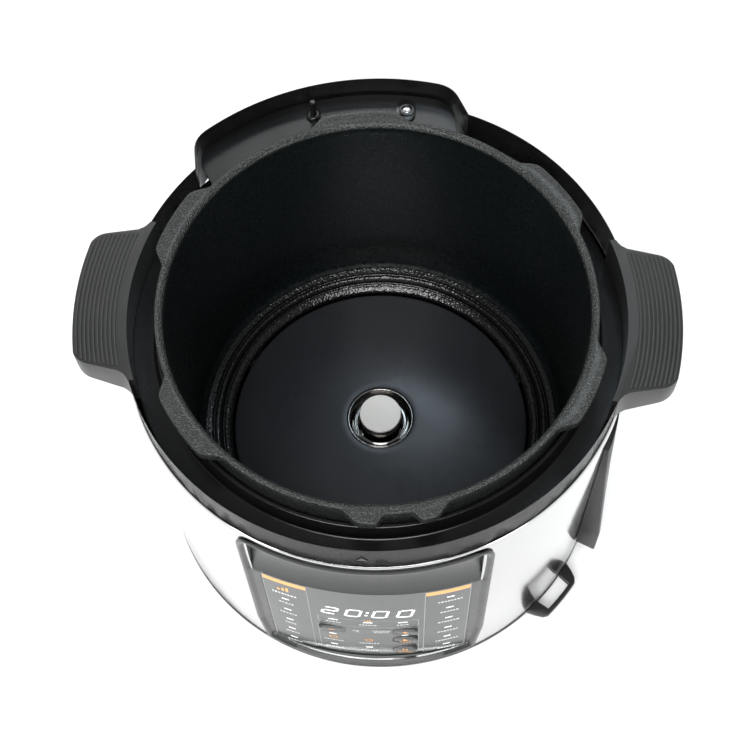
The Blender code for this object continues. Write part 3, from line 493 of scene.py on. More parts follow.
guide_steel = coat(
    "guide_steel", brushed, {"Colour": (0.42, 0.41, 0.40, 1), "Gloss": 0.10, "Depth": 0.01}, metallic=1.0,
)
sprung_steel = coat(
    "sprung_steel", brushed, {"Colour": (0.60, 0.60, 0.61, 1), "Gloss": 0.28, "Depth": 0.04}, metallic=1.0,
)
cap_metal = coat(
    "cap_metal", moulded, {"Colour": (0.94, 0.92, 0.88, 1), "Gloss": 0.42, "Depth": 0.05, "Drift": 0.04},
    metallic=0.0,
)
capsule_steel = coat(
    "capsule_steel", brushed, {"Colour": (0.20, 0.19, 0.18, 1), "Gloss": 0.22, "Depth": 0.01}, metallic=1.0,
)
plate_coat = coat(
    "plate_coat", moulded, {"Colour": (0.024, 0.025, 0.029, 1), "Gloss": 0.30, "Depth": 0.02, "Drift": 0.05},
    metallic=0.2,
)
element_metal = coat(
    "element_metal", moulded, {"Colour": (0.30, 0.27, 0.24, 1), "Gloss": 0.55, "Depth": 0.1}, metallic=0.9,
)
zinc = coat(
    "zinc", moulded, {"Colour": (0.55, 0.57, 0.58, 1), "Gloss": 0.42, "Depth": 0.06, "Grain per metre": 900.0},
    metallic=0.9,
)
board_green = coat("board_green", moulded, {"Colour": (0.03, 0.16, 0.07, 1), "Gloss": 0.45, "Depth": 0.05})
component_black = coat("component_black", moulded, {"Colour": (0.05, 0.05, 0.05, 1), "Gloss": 0.5, "Depth": 0.08})
contact_brass = coat("contact_brass", brushed, {"Colour": (0.72, 0.56, 0.26, 1), "Gloss": 0.3}, metallic=1.0)
foot_rubber = coat("foot_rubber", moulded, {"Colour": (0.025, 0.025, 0.025, 1), "Gloss": 0.85, "Depth": 0.2})
key_plastic = coat("key_plastic", moulded, {"Colour": (0.030, 0.032, 0.032, 1), "Gloss": 0.24, "Depth": 0.02})
display_black = coat("display_black", moulded, {"Colour": (0.03, 0.03, 0.035, 1), "Gloss": 0.2, "Depth": 0.0})
print("finishes:", len(bpy.data.materials))

# %% [markdown]
# The inside of the well has its own version of the enamel. The rim is grey-green with a deep pitted skin whose
# ridges are painted lighter as a painted sheen, and the deep wall is nearly black and shinier. Height decides
# between the two, because the object's own Z is a good map of the well.

# %% The pot's enamel, changing with height
pot_enamel = bpy.data.materials.new("pot_enamel")
pot_enamel.use_nodes = True
tree = pot_enamel.node_tree
shader = tree.nodes["Principled BSDF"]
shader.inputs["Specular IOR Level"].default_value = 0.45
shader.inputs["Coat Weight"].default_value = 0.15
shader.inputs["Coat Roughness"].default_value = 0.12
where = tree.nodes.new("ShaderNodeTexCoord")
apart = tree.nodes.new("ShaderNodeSeparateXYZ")
tree.links.new(where.outputs["Object"], apart.inputs[0])
rough_skin = tree.nodes.new("ShaderNodeGroup")
rough_skin.node_tree = enamel
rough_skin.inputs["Low colour"].default_value = (0.006, 0.007, 0.0065, 1)
# the rim's ridges are painted lighter, a painted sheen
rough_skin.inputs["Painted ridge sheen"].default_value = (0.028, 0.031, 0.029, 1)
rough_skin.inputs["Gloss"].default_value = 0.30
rough_skin.inputs["Depth"].default_value = 0.90
rough_skin.inputs["Pits per metre"].default_value = 1100.0
tree.links.new(where.outputs["Object"], rough_skin.inputs["Place"])
satin_skin = tree.nodes.new("ShaderNodeGroup")
satin_skin.node_tree = enamel
satin_skin.inputs["Low colour"].default_value = (0.0015, 0.0030, 0.0032, 1)
satin_skin.inputs["Painted ridge sheen"].default_value = (0.0025, 0.0045, 0.0048, 1)
satin_skin.inputs["Gloss"].default_value = 0.30
satin_skin.inputs["Depth"].default_value = 0.015
tree.links.new(where.outputs["Object"], satin_skin.inputs["Place"])
on_rim = tree.nodes.new("ShaderNodeMapRange")
on_rim.inputs["From Min"].default_value = pot_top - 0.0036
on_rim.inputs["From Max"].default_value = pot_top - 0.0016
tree.links.new(apart.outputs["Z"], on_rim.inputs["Value"])
across = tree.nodes.new("ShaderNodeVectorMath")
across.operation = "LENGTH"
flat = tree.nodes.new("ShaderNodeCombineXYZ")
tree.links.new(apart.outputs["X"], flat.inputs["X"])
tree.links.new(apart.outputs["Y"], flat.inputs["Y"])
tree.links.new(flat.outputs[0], across.inputs[0])
outside = tree.nodes.new("ShaderNodeMapRange")
outside.inputs["From Min"].default_value = 0.1180
outside.inputs["From Max"].default_value = 0.1186
tree.links.new(across.outputs["Value"], outside.inputs["Value"])
rough_place = sum_of(tree, on_rim.outputs[0], outside.outputs[0], "MAXIMUM")
for label, target in (("Colour", "Base Color"), ("Roughness", "Roughness"), ("Normal", "Normal")):
    mix = tree.nodes.new("ShaderNodeMix")
    mix.data_type = {"Colour": "RGBA", "Roughness": "FLOAT", "Normal": "VECTOR"}[label]
    ends = {"Colour": (6, 7, 2), "Roughness": (2, 3, 0), "Normal": (4, 5, 1)}[label]
    tree.links.new(rough_place, mix.inputs[0])
    tree.links.new(satin_skin.outputs[label], mix.inputs[ends[0]])
    tree.links.new(rough_skin.outputs[label], mix.inputs[ends[1]])
    tree.links.new(mix.outputs[ends[2]], shader.inputs[target])

floor_enamel = coat(
    "floor_enamel", enamel,
    {
        "Low colour": (0.003, 0.003, 0.003, 1), "Painted ridge sheen": (0.005, 0.005, 0.005, 1), "Gloss": 0.16,
        "Depth": 0.30, "Pits per metre": 700.0,
    },
)

# %% [markdown]
# ## The pot
# The pot is a turned casting whose flange swells into six lugs, which lock the lid down. It is spun as a plain
# ring, and then the outer points of the flange are pushed out where a lug stands. A smooth step makes the
# slanted flanks, and the front lug is split by a notch.

# %% The pot and its lugs
lug_reach, lug_pitch, lug_phase, lug_half, flank = 0.0070, 60.0, 38.0, 11.3, 6.0
notch_at, notch_half, notch_reach = -81.6, 4.4, 0.0018
flange_edge, flange_thick = 0.1215, 0.0068


def smooth_step(value):
    value = min(1.0, max(0.0, value))
    return value * value * (3 - 2 * value)


def lug_push(azimuth):
    off = abs((azimuth - lug_phase + lug_pitch / 2) % lug_pitch - lug_pitch / 2)
    push = lug_reach * smooth_step((lug_half - off) / flank + 0.5)
    from_notch = abs((azimuth - notch_at + 180) % 360 - 180)
    filled = smooth_step((from_notch - notch_half) / 2.2 + 0.5)
    return push * filled + min(push, notch_reach) * (1 - filled)


well = 0.1165
pot_outline = [
    (well, pot_top - 0.060), (well, pot_top - 0.0060, 0.003), (well + 0.0005, pot_top - 0.0021, 0.0015),
    (well + 0.0027, pot_top, 0.0016), (flange_edge, pot_top, 0.0013), (flange_edge, pot_top - flange_thick, 0.0010),
    (0.1203, pot_top - flange_thick, 0.0004), (0.1203, 0.0820, 0.004), (0.1143, 0.0702, 0.004),
    (0.1100, 0.0702, 0.001), (0.1112, 0.0782, 0.001), (0.1145, 0.0815, 0.003), (well, 0.0900, 0.005),
]
pot = turn(soften(pot_outline, count=4), steps=360)
for vert in pot.verts:
    radius = vert.co.xy.length
    if radius > flange_edge - 0.0016 and vert.co.z > pot_top - flange_thick - 1e-6:
        share = (radius - (flange_edge - 0.0016)) / 0.0016
        azimuth = degrees(Vector((1, 0)).angle_signed(vert.co.xy)) * -1
        vert.co.xy *= 1 + lug_push(azimuth) * min(1.0, share * 3) / radius
finish_piece("pot_casting", pot, pot_enamel, stands_for=["pot_housing"], sharp=60)

# %% [markdown]
# At the bottom of the well a ledge runs round the plate, with two low beads that stiffen it. It shows thick,
# shiny drops of enamel, so it is its own ring with a rougher coat.

# %% The ledge with its beads
ledge_outline = [
    (plate_radius + 0.0012, 0.0703), (plate_radius + 0.0012, 0.0738, 0.0010),
    (plate_radius + 0.0040, 0.0758, 0.0012),
    (0.0993, 0.0762, 0.0008), (0.1003, 0.0777, 0.0009), (0.1015, 0.0763, 0.0008), (0.1040, 0.0757, 0.0010),
    (0.1054, 0.0766, 0.0008), (0.1064, 0.0782, 0.0009), (0.1076, 0.0768, 0.0008), (0.1110, 0.0780, 0.0020),
    (0.1128, 0.0786, 0.0010), (0.1132, 0.0760), (0.1115, 0.0703),
]
finish_piece(
    "well_ledge", turn(soften(ledge_outline, count=3), steps=300), floor_enamel, sharp=60,
)

# %% [markdown]
# ## The heating plate and the sensor
# The plate is a shallow dome with a dark satin coat. In its hole stands a bright guide ring, and in that a pale
# capsule on a spring, which feels the bottom of the inner pot. The capsule rides on its own body, so that it
# can be pressed.

# %% The plate, its guide ring and the capsule
hole = 0.0210
dome, plate_edge = 0.0077, plate_top - 0.0077 * (1 - (0.0218 / plate_radius) ** 2)


def plate_z(radius):
    return plate_edge + dome * (1 - (radius / plate_radius) ** 2)


plate_outline = [
    (hole, plate_edge - 0.0080), (0.030, plate_edge - 0.0080), (0.031, plate_edge - 0.0062),
    (plate_radius, plate_edge - 0.0060),
]
plate_outline += [(plate_radius, plate_edge, 0.0012)] + [
    (0.0900 - 0.0042 * i, plate_z(0.0900 - 0.0042 * i), 0.0012) for i in range(16)
]
plate_outline += [(hole, plate_z(hole), 0.0010)]
finish_piece(
    "warm_plate", turn(soften(plate_outline), steps=240), plate_coat, stands_for=["heating_plate"],
)
tube_out, tube_in, tube_low, dish_top = 0.0156, 0.0144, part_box("sensor_guide")[0].z, plate_z(hole)
guide_outline = [
    (0.0038, tube_low), (tube_out, tube_low), (tube_out, plate_edge - 0.0006), (hole - 0.0006, dish_top - 0.0022),
    (hole - 0.0003, dish_top - 0.0004, 0.0003), (hole - 0.0010, dish_top - 0.0003, 0.0004),
    (tube_in + 0.0028, plate_edge + 0.0016, 0.0014),
    (tube_in + 0.0017, plate_edge + 0.0008, 0.0005), (tube_in + 0.0008, plate_edge + 0.0015, 0.0006),
    (tube_in, plate_edge + 0.0008, 0.0006),
    (tube_in, tube_low + 0.0015), (0.0038, tube_low + 0.0015),
]
finish_piece(
    "guide_ring", turn(soften(guide_outline, 0.0003), steps=120), guide_steel,
    stands_for=["sensor_guide"],
)
cap_out, stem = 0.0130, 0.0030
disc = [
    (0.0, sensor_top - 0.0018), (cap_out, sensor_top - 0.0018, 0.0002), (cap_out, sensor_top, 0.0007),
    (0.0, sensor_top),
]
finish_piece(
    "sensor_disc", turn(soften(disc, 0.0003, closed=False), steps=120, closed=False), cap_metal, body="sensor",
)
cap_outline = [
    (0.0, tube_low - 0.0040), (stem, tube_low - 0.0040, 0.0004), (stem, sensor_top - 0.0024),
    (cap_out - 0.0013, sensor_top - 0.0024),
    (cap_out - 0.0013, sensor_top - 0.0200), (cap_out - 0.0003, sensor_top - 0.0200),
    (cap_out - 0.0003, sensor_top - 0.0020, 0.0004),
    (0.0, sensor_top - 0.0020),
]
finish_piece(
    "sensor_capsule", turn(soften(cap_outline, 0.0003, closed=False), steps=120, closed=False), capsule_steel,
    body="sensor", stands_for=["sensor_cap"],
)

# %% [markdown]
# ## The collar
# One plastic moulding holds the pot: a trough that catches drips, a band round it, and a deeper bay at the back.
# The band runs round the front as a circle and round the bay as a second outline, so its wall is one closed
# strip: the outline is drawn once, inset by the wall's thickness, and the strip between is raised.

# %% The outline of the band and its bay
bay_root, bay_tip = (70.8, 141.5), (76.3, 136.6)


def bay_corner(start, corner, stop, reach=0.009, count=6):
    start, corner, stop = Vector(start), Vector(corner), Vector(stop)
    first = corner + (start - corner).normalized() * reach
    last = corner + (stop - corner).normalized() * reach
    steps = [i / (count - 1) for i in range(count)]
    return [tuple(first * (1 - t) ** 2 + corner * 2 * t * (1 - t) + last * t * t) for t in steps]


def bay_points(root_radius, outer, shrink=0.0):
    edge = degrees(shrink / outer)
    root = (bay_root[0] + edge, bay_root[1] - edge)
    tip = (bay_tip[0] + edge, bay_tip[1] - edge)
    swing = degrees(0.009 / outer)
    points = bay_corner(polar(root_radius, root[0]), polar(outer, tip[0]), polar(outer, tip[0] + swing))
    points += arc(outer, tip[0] + 1.25 * swing, tip[1] - 1.25 * swing, 40)
    points += bay_corner(polar(outer, tip[1] - swing), polar(outer, tip[1]), polar(root_radius, root[1]))
    return points, root


bay_line, roots = bay_points(rim_radius, tray_radius)
band_line = arc(rim_radius + 0.0002, roots[1] + 0.2, roots[0] + 359.8, 220) + bay_line
print("band outline points:", len(band_line))


# %% [markdown]
# The strip's two top edges are rounded after it is raised. The same tool makes the lower skirt of the bay, which
# hangs below the band and hides the switch of the lid pin.

# %% The band and the skirt of the bay
def upright_strip(outline, thick, low, high, bevel, segments=3):
    bm = bmesh.new()
    face = bm.faces.new([bm.verts.new((x, y, low)) for x, y in outline])
    bmesh.ops.inset_region(bm, faces=[face], thickness=thick, use_even_offset=True, use_boundary=True)
    bmesh.ops.delete(bm, geom=[face], context="FACES_ONLY")
    raised = bmesh.ops.extrude_face_region(bm, geom=list(bm.faces))["geom"]
    bmesh.ops.translate(bm, vec=(0, 0, high - low), verts=[g for g in raised if isinstance(g, bmesh.types.BMVert)])
    bmesh.ops.recalc_face_normals(bm, faces=bm.faces)
    edges = []
    for edge in bm.edges:
        level = abs(edge.verts[0].co.z - edge.verts[1].co.z) < 1e-7
        if level and len(edge.link_faces) == 2 and edge.calc_face_angle(0.0) > 1.0:
            edges.append(edge)
    round_edges(bm, edges, bevel, segments)
    return bm


band = upright_strip(band_line, 0.0030, 0.2000, rim_top, 0.0007)
finish_piece("collar_band", band, collar_plastic, stands_for=["collar"], sharp=40)
skirt_line = bay_points(shell_radius + 0.0006, tray_radius)[0] + arc(shell_radius + 0.0006, roots[1], roots[0], 40)
skirt = upright_strip(skirt_line, 0.0026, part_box("collar")[0].z, 0.2002, 0.0005)
finish_piece("bay_skirt", skirt, collar_plastic)

# %% [markdown]
# The trough is turned, with the lip that stands round the pot's neck. The floor of the bay is a plate cut to the
# bay's inside, and its raised pad holds a screw.

# %% The trough and the floor of the bay
lip = 0.1215
trough_outline = [
    (lip, 0.1980), (lip, 0.2120, 0.0006), (lip + 0.0022, 0.2120, 0.0006), (lip + 0.0035, 0.2005, 0.0015),
    (rim_radius - 0.0020, 0.2005, 0.0012), (rim_radius - 0.0020, 0.1990), (rim_radius - 0.0012, 0.1902),
    (rim_radius - 0.0034, 0.1902), (rim_radius - 0.0034, 0.1980),
]
finish_piece("drip_trough", turn(soften(trough_outline, 0.0004), steps=240), collar_plastic)
bay_inside = bay_points(rim_radius - 0.004, tray_radius - 0.0015, 0.0012)[0]
bay_inside += arc(0.1252, roots[1] - 0.5, roots[0] + 0.5, 60)
finish_piece("bay_floor", slab(bay_inside, 0.2068, 0.2100), collar_plastic)


# %% [markdown]
# The pad is a stadium: two half circles joined by straight sides. A ring stands round its screw.

# %% The pad, the screw and the lid pin
def stadium(middle, azimuth, straight, radius, count=14):
    points = []
    for end, first in ((1, -90), (-1, 90)):
        cx, cy = middle[0] + end * straight * cos(
            radians(azimuth),
        ), middle[1] + end * straight * sin(radians(azimuth))
        for x, y in arc(radius, azimuth + first, azimuth + first + 180, count):
            points.append((cx + x, cy + y))
    return points


pad_at, screw_at = polar(0.1430, 86.3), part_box("tray_screw")
screw_middle = (screw_at[0] + screw_at[1]) / 2
pad = slab(stadium(pad_at, 86.3, 0.0022, 0.0060), 0.2095, 0.2113, 0.0005, top_only=True)
finish_piece("bay_pad", pad, collar_plastic)
ring = turn(soften([(0.0030, 0.2108), (0.0046, 0.2108), (0.0046, 0.2121), (0.0030, 0.2121)], 0.0005), steps=48)
bmesh.ops.translate(ring, vec=(screw_middle.x, screw_middle.y, 0), verts=ring.verts)
finish_piece("screw_ring", ring, collar_plastic)
head = turn(
    soften([(0.0, 0.2096), (0.0028, 0.2096), (0.0028, 0.2120, 0.0010), (0.0, 0.2124)], 0.0004, closed=False),
    steps=48, closed=False,
)
bmesh.ops.translate(head, vec=(screw_middle.x, screw_middle.y, 0), verts=head.verts)
finish_piece("screw_head", head, sprung_steel, stands_for=["tray_screw"])
pin_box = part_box("lid_pin")
pin_middle = (pin_box[0] + pin_box[1]) / 2
pin_outline = [
    (0.0, pin_box[0].z), (0.0012, pin_box[0].z), (0.0012, 0.1996), (0.0025, 0.1996), (0.0025, 0.2010),
    (0.0018, 0.2010),
    (0.0018, pin_box[1].z, 0.0010), (0.0, pin_box[1].z),
]
pin = turn(soften(pin_outline, 0.0002, closed=False), steps=40, closed=False)
bmesh.ops.translate(pin, vec=(pin_middle.x, pin_middle.y, 0), verts=pin.verts)
finish_piece("lid_sensing_pin", pin, collar_plastic, body="lid_pin", stands_for=["lid_pin"])
bush_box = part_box("lid_pin_bush")
bush_outline = [
    (0.0021, bush_box[0].z), (0.0030, bush_box[0].z), (0.0030, 0.2102), (0.0042, 0.2102), (0.0042, 0.2118, 0.0006),
    (0.0031, bush_box[1].z, 0.0006), (0.0021, bush_box[1].z),
]
bush = turn(soften(bush_outline, 0.0002), steps=40)
bmesh.ops.translate(bush, vec=(pin_middle.x, pin_middle.y, 0), verts=bush.verts)
finish_piece("pin_bush", bush, collar_plastic, stands_for=["lid_pin_bush"])

# %% [markdown]
# ## The two return springs
# A spring under the capsule and one under the lid pin push them back up. Each is a small circle of wire that is
# spun with a rise at every step, and each keeps a mesh of its own.

# %% Wind the springs
def wind_spring(node, wire, turns):
    low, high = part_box(node)
    middle = (low + high) / 2
    radius, steps = (high.x - low.x - wire) / 2, 24 * turns
    bm = bmesh.new()
    bmesh.ops.create_circle(bm, cap_ends=False, segments=10, radius=wire / 2)
    bmesh.ops.rotate(bm, cent=(0, 0, 0), matrix=Matrix.Rotation(pi / 2, 3, "X"), verts=bm.verts)
    bmesh.ops.translate(bm, vec=(radius, 0, low.z + wire / 2), verts=bm.verts)
    rise = (high.z - low.z - wire) / steps
    bmesh.ops.spin(
        bm, geom=list(bm.verts) + list(bm.edges), cent=(0, 0, 0), axis=(0, 0, 1), dvec=(0, 0, rise),
        angle=2 * pi * turns, steps=steps, use_merge=False,
    )
    bmesh.ops.holes_fill(bm, edges=[e for e in bm.edges if e.is_boundary])
    bmesh.ops.recalc_face_normals(bm, faces=bm.faces)
    bmesh.ops.translate(bm, vec=(middle.x, middle.y, 0), verts=bm.verts)
    print(node, "wound from", round(low.z, 4), "to", round(max(v.co.z for v in bm.verts), 4), "of", round(high.z, 4))
    piece = finish_piece(node + "_coil", bm, sprung_steel, stands_for=[node])
    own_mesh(piece)


wind_spring("sensor_spring", 0.0012, 6)
wind_spring("lid_pin_spring", 0.0005, 5)

# %% [markdown]
# ## The handles
# Each handle is a thick slab that follows the collar, with round outer corners and an underside that rises
# towards the tip. Fingers find its ribs by touch: they are thin half-round bars that run level with the rim,
# each trimmed to the handle's width at its own radius.

# %% The handles and their ribs
handle_root, root_half, tip_half, corner_reach = rim_radius - 0.0026, 0.0445, 0.0405, 0.0068
flare = [
    (rim_radius + 0.0006, 0.0500), (rim_radius + 0.0011, 0.0483), (rim_radius + 0.0022, 0.0464),
    (rim_radius + 0.0046, 0.0447),
]


def handle_half(radius):
    share = (radius - handle_root) / (handle_tip - handle_root)
    half = root_half + (tip_half - root_half) * share
    into = max(0.0, radius - (handle_tip - corner_reach)) / corner_reach
    return half - corner_reach * (1 - sqrt(max(0.0, 1 - into * into)))


def handle_outline():
    root = degrees(asin(0.0500 / handle_root))
    points = arc(handle_root, root, -root, 25)
    outward = [(r, degrees(asin(half / r))) for r, half in flare]
    points += [polar(r, -angle) for r, angle in outward]
    side_radii = [handle_tip - corner_reach * (1 - sin(radians(a))) for a in (0, 20, 38, 54, 68, 80)]
    lower = [polar(r, -degrees(asin(handle_half(r) / r))) for r in side_radii]
    tip = degrees(asin(handle_half(handle_tip - 0.0002) / handle_tip))
    upper = [(x, -y) for x, y in reversed(lower)] + [polar(r, angle) for r, angle in reversed(outward)]
    return points + lower + arc(handle_tip, -tip, tip, 25) + upper


for name, turned_by in (("handle_right", 0.0), ("handle_left", pi)):
    grip = slab(handle_outline(), 0.2000, rim_top + 0.0001)
    for vert in grip.verts:
        if vert.co.z < rim_top - 0.001:
            vert.co.z += 0.0075 * (vert.co.xy.length - handle_root) / (handle_tip - handle_root)
    creases = [
        e for e in grip.edges
        if e.calc_face_angle(0.0) > 0.9 and min(v.co.xy.length for v in e.verts) > rim_radius + 0.0004
    ]
    round_edges(grip, creases, 0.0011, 3)
    tab = bmesh.new()
    bmesh.ops.create_cube(tab, size=1.0)
    bmesh.ops.scale(tab, vec=(0.0036, 0.046, 0.016), verts=tab.verts)
    bmesh.ops.translate(tab, vec=(shell_radius + 0.0025, 0, 0.1955), verts=tab.verts)
    round_edges(tab, list(tab.edges), 0.0006, 2)
    add_to(grip, tab)
    for i in range(10):
        radius = rim_radius + 0.0042 + 0.00234 * i
        half = degrees(asin((handle_half(radius + 0.0006) - 0.0012) / radius))
        rib = [
            (radius + 0.00102 * dx, rim_top - 0.0003 + 0.0009 * dz) for dx,
            dz in ((1, 0), (0.93, 0.5), (0.7, 0.85), (0.3, 1), (-0.3, 1), (-0.7, 0.85), (-0.93, 0.5), (-1, 0))
        ]
        add_to(grip, turn(rib, 28, 2 * half, -half))
    bmesh.ops.rotate(grip, cent=(0, 0, 0), matrix=Matrix.Rotation(turned_by, 3, "Z"), verts=grip.verts)
    finish_piece(name + "_grip", grip, handle_plastic, stands_for=[name])

# %% [markdown]
# ## The steel wall and the base
# The wall is a thin polished sheet, turned, with its edges rolled in. The panel's opening is cut with a Boolean,
# which is applied at once so that the cutter can be thrown away.

# %% The steel wall
def cut(piece, cutter_bm):
    mesh = bpy.data.meshes.new("cutter")
    cutter_bm.to_mesh(mesh)
    cutter_bm.free()
    cutter = bpy.data.objects.new("cutter", mesh)
    scene.collection.objects.link(cutter)
    modifier = piece.modifiers.new("cut", "BOOLEAN")
    modifier.object = cutter
    modifier.solver = "EXACT"
    bpy.context.view_layer.update()
    result = bpy.data.meshes.new_from_object(piece.evaluated_get(bpy.context.evaluated_depsgraph_get()))
    piece.modifiers.clear()
    old = piece.data
    piece.data = result
    result.name = piece.name
    bpy.data.objects.remove(cutter)
    bpy.data.meshes.remove(mesh)
    bpy.data.meshes.remove(old)
    return piece


bezel_low, bezel_high, bezel_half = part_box("panel_bezel")[0].z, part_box("panel_bezel")[1].z, 29.3
wall_outline = [
    (shell_radius - 0.0004, shell_low), (shell_radius, shell_low + 0.0006),
    (shell_radius, shell_high - 0.0012, 0.0010),
    (shell_radius - 0.0010, shell_high, 0.0004), (shell_radius - 0.0018, shell_high - 0.0010),
    (shell_radius - 0.0010, shell_high - 0.0022, 0.0006), (shell_radius - 0.0010, shell_low),
]
steel_wall = finish_piece(
    "steel_wall", turn(soften(wall_outline, 0.0002, 2), steps=360), shell_steel,
    stands_for=["outer_shell"], sharp=40,
)
window = slab(
    [(-0.0640, -0.16), (0.0640, -0.16), (0.0640, -0.11), (-0.0640, -0.11)], bezel_low + 0.0060, bezel_high - 0.0060,
)
cut(steel_wall, window)

# %% [markdown]
# The base is a dark pan with vents under it and a ring that shows below the steel. It has a small radius at its
# lower edge, which leaves a shadow line on the table.

# %% The base pan
pan_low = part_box("base_pan")[0].z
pan_outline = [
    (0.0, pan_low), (shell_radius + 0.0002, pan_low, 0.0020), (shell_radius + 0.0002, shell_low - 0.0003, 0.0004),
    (shell_radius - 0.0016, shell_low - 0.0003, 0.0003), (shell_radius - 0.0016, 0.0180, 0.0004),
    (shell_radius - 0.0045, 0.0180, 0.0004),
    (shell_radius - 0.0045, pan_low + 0.0028, 0.0015), (0.0, pan_low + 0.0028),
]
pan = finish_piece(
    "pan_moulding", turn(soften(pan_outline, 0.0003, closed=False), steps=240, closed=False), base_plastic,
    stands_for=["base_pan"]
)
for i in range(12):
    azimuth = 15.0 + 30.0 * i
    vent = slab(stadium(polar(0.072, azimuth), azimuth, 0.0148, 0.0022, 8), pan_low - 0.01, pan_low + 0.02)
    cut(pan, vent)

# %% [markdown]
# ## The hood and the eyelet at the right
# A black wedge stands off the steel low on the right side and covers the inlet, open at its foot. Its section is
# narrow at the top and deep below, so a few level sections joined by faces make it. The eyelet at the base holds the
# cord, and is a flat tongue with a window.

# %% The inlet hood
hood_at, hood_reach, hood_knee = -19.0, 0.1550, 0.056
hood_low, hood_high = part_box("inlet_hood")[0].z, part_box("inlet_hood")[1].z


def hood_section(z, wall=0.0):
    share = (z - hood_low) / (hood_high - hood_low)
    half = 5.6 - 0.3 * share - degrees(wall / 0.142)
    stand = hood_reach - 0.0104 * max(0.0, (z - hood_knee) / (hood_high - hood_knee)) - shell_radius
    points = [polar(shell_radius + 0.0003, hood_at + half)]
    for across, lean in (
        (0.97, 0.24), (0.9, 0.30), (0.45, 0.52), (0.0, 0.70), (-0.45, 0.86), (-0.8, 0.97), (-0.95, 0.99),
        (-1.0, 0.96),
    ):
        points.append(polar(shell_radius + max(0.0008, stand * lean - wall), hood_at + half * across))
    return points + [polar(shell_radius + 0.0003, hood_at - half)]


hood = bmesh.new()
rings = []
for z in (hood_low, hood_knee, hood_low + 0.07, hood_low + 0.11, hood_high):
    outer = [hood.verts.new((x, y, z)) for x, y in hood_section(z)]
    rings.append([hood.edges.new((a, b)) for a, b in zip(outer, outer[1:] + outer[:1])])
for below, above in zip(rings, rings[1:]):
    bmesh.ops.bridge_loops(hood, edges=below + above)
bmesh.ops.holes_fill(hood, edges=[e for e in hood.edges if e.is_boundary])
bmesh.ops.recalc_face_normals(hood, faces=hood.faces)
round_edges(
    hood,
    [e for e in hood.edges if e.calc_face_angle(0.0) > 0.5 and e.verts[0].co.xy.length > shell_radius + 0.001],
    0.0008, 2,
)
hood_piece = finish_piece("inlet_cover", hood, base_plastic, stands_for=["inlet_hood"])
hollow = bmesh.new()
rings = []
for z in (hood_low - 0.004, hood_knee, hood_low + 0.07):
    inner = [hollow.verts.new((x, y, z)) for x, y in hood_section(max(z, hood_low), 0.0018)]
    rings.append([hollow.edges.new((a, b)) for a, b in zip(inner, inner[1:] + inner[:1])])
for below, above in zip(rings, rings[1:]):
    bmesh.ops.bridge_loops(hollow, edges=below + above)
bmesh.ops.holes_fill(hollow, edges=[e for e in hollow.edges if e.is_boundary])
bmesh.ops.recalc_face_normals(hollow, faces=hollow.faces)
cut(hood_piece, hollow)

# %% The cord eyelet
loop_low, loop_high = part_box("cord_loop")[0].z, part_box("cord_loop")[1].z
loop_at, loop_root, loop_reach = -37.0, shell_radius + 0.0005, 0.1535
eyelet_line = arc(loop_root, loop_at - 8.5, loop_at + 8.5, 13)
eyelet_line += [polar(loop_reach - 0.0060, loop_at + 7.4), polar(loop_reach - 0.0018, loop_at + 6.3)]
eyelet_line += arc(loop_reach, loop_at + 5.2, loop_at - 5.2, 9)
eyelet_line += [polar(loop_reach - 0.0018, loop_at - 6.3), polar(loop_reach - 0.0060, loop_at - 7.4)]
eyelet = finish_piece(
    "cord_eyelet", slab(eyelet_line, loop_low, loop_high, 0.0007, 2), base_plastic, stands_for=["cord_loop"],
)
gap_line = arc(loop_root - 0.0010, loop_at - 4.9, loop_at + 4.9, 9) + arc(
    loop_reach - 0.0026, loop_at + 4.3, loop_at - 4.3, 9,
)
cut(eyelet, slab(gap_line, loop_low - 0.01, loop_high + 0.01))

# %% [markdown]
# ## The control panel
# A curved frame holds a grey film behind which the display and the keys sit. The film is flatter than the body,
# so it lies on a wider cylinder. The frame is a grid laid over that part of the wall and pushed to its depth point
# by point, then given its thickness.

# %% The surface of the panel
face_radius, face_front = 0.1750, -0.1385
film_x, film_low, film_high = 0.0595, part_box("panel_overlay")[0].z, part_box("panel_overlay")[1].z


def film_y(x, behind=0.0):
    return face_front + face_radius - sqrt((face_radius - behind) ** 2 - x * x)


def film_reach(azimuth):
    centre = face_front + face_radius
    along = centre * sin(radians(azimuth))
    return along + sqrt(along * along + face_radius ** 2 - centre * centre)


# %% The frame of the panel
def frame_half(z):
    if z > bezel_high - 0.016:
        rise = (z - (bezel_high - 0.016)) / 0.016
        return bezel_half - 4.5 * (1 - sqrt(max(0.0, 1 - rise * rise)))
    if z < bezel_low + 0.036:
        return 27.6 + 1.7 * (z - bezel_low) / 0.036
    return bezel_half


def frame_depth(azimuth, z):
    half = frame_half(z)
    from_side = (half - abs(azimuth)) * radians(1) * 0.1434
    from_edge = min(from_side, z - bezel_low, bezel_high - z)
    rim = 0.1438 - 0.0009 * (1 - smooth_step(from_edge / 0.0010))
    inner = film_reach(-90 + azimuth) + 0.0002
    if z > film_high:
        share = min(1.0, (z - film_high) / (bezel_high - 0.0050 - film_high))
        inner -= 0.0036 * sin(share * pi) ** 0.8
    inside_x = abs(inner * sin(radians(azimuth))) < film_x + 0.0002
    if inside_x and film_low - 0.0002 < z < film_high + 0.0002:
        inner -= 0.0016
    return rim + (inner - rim) * smooth_step((from_edge - 0.0034) / 0.0016)


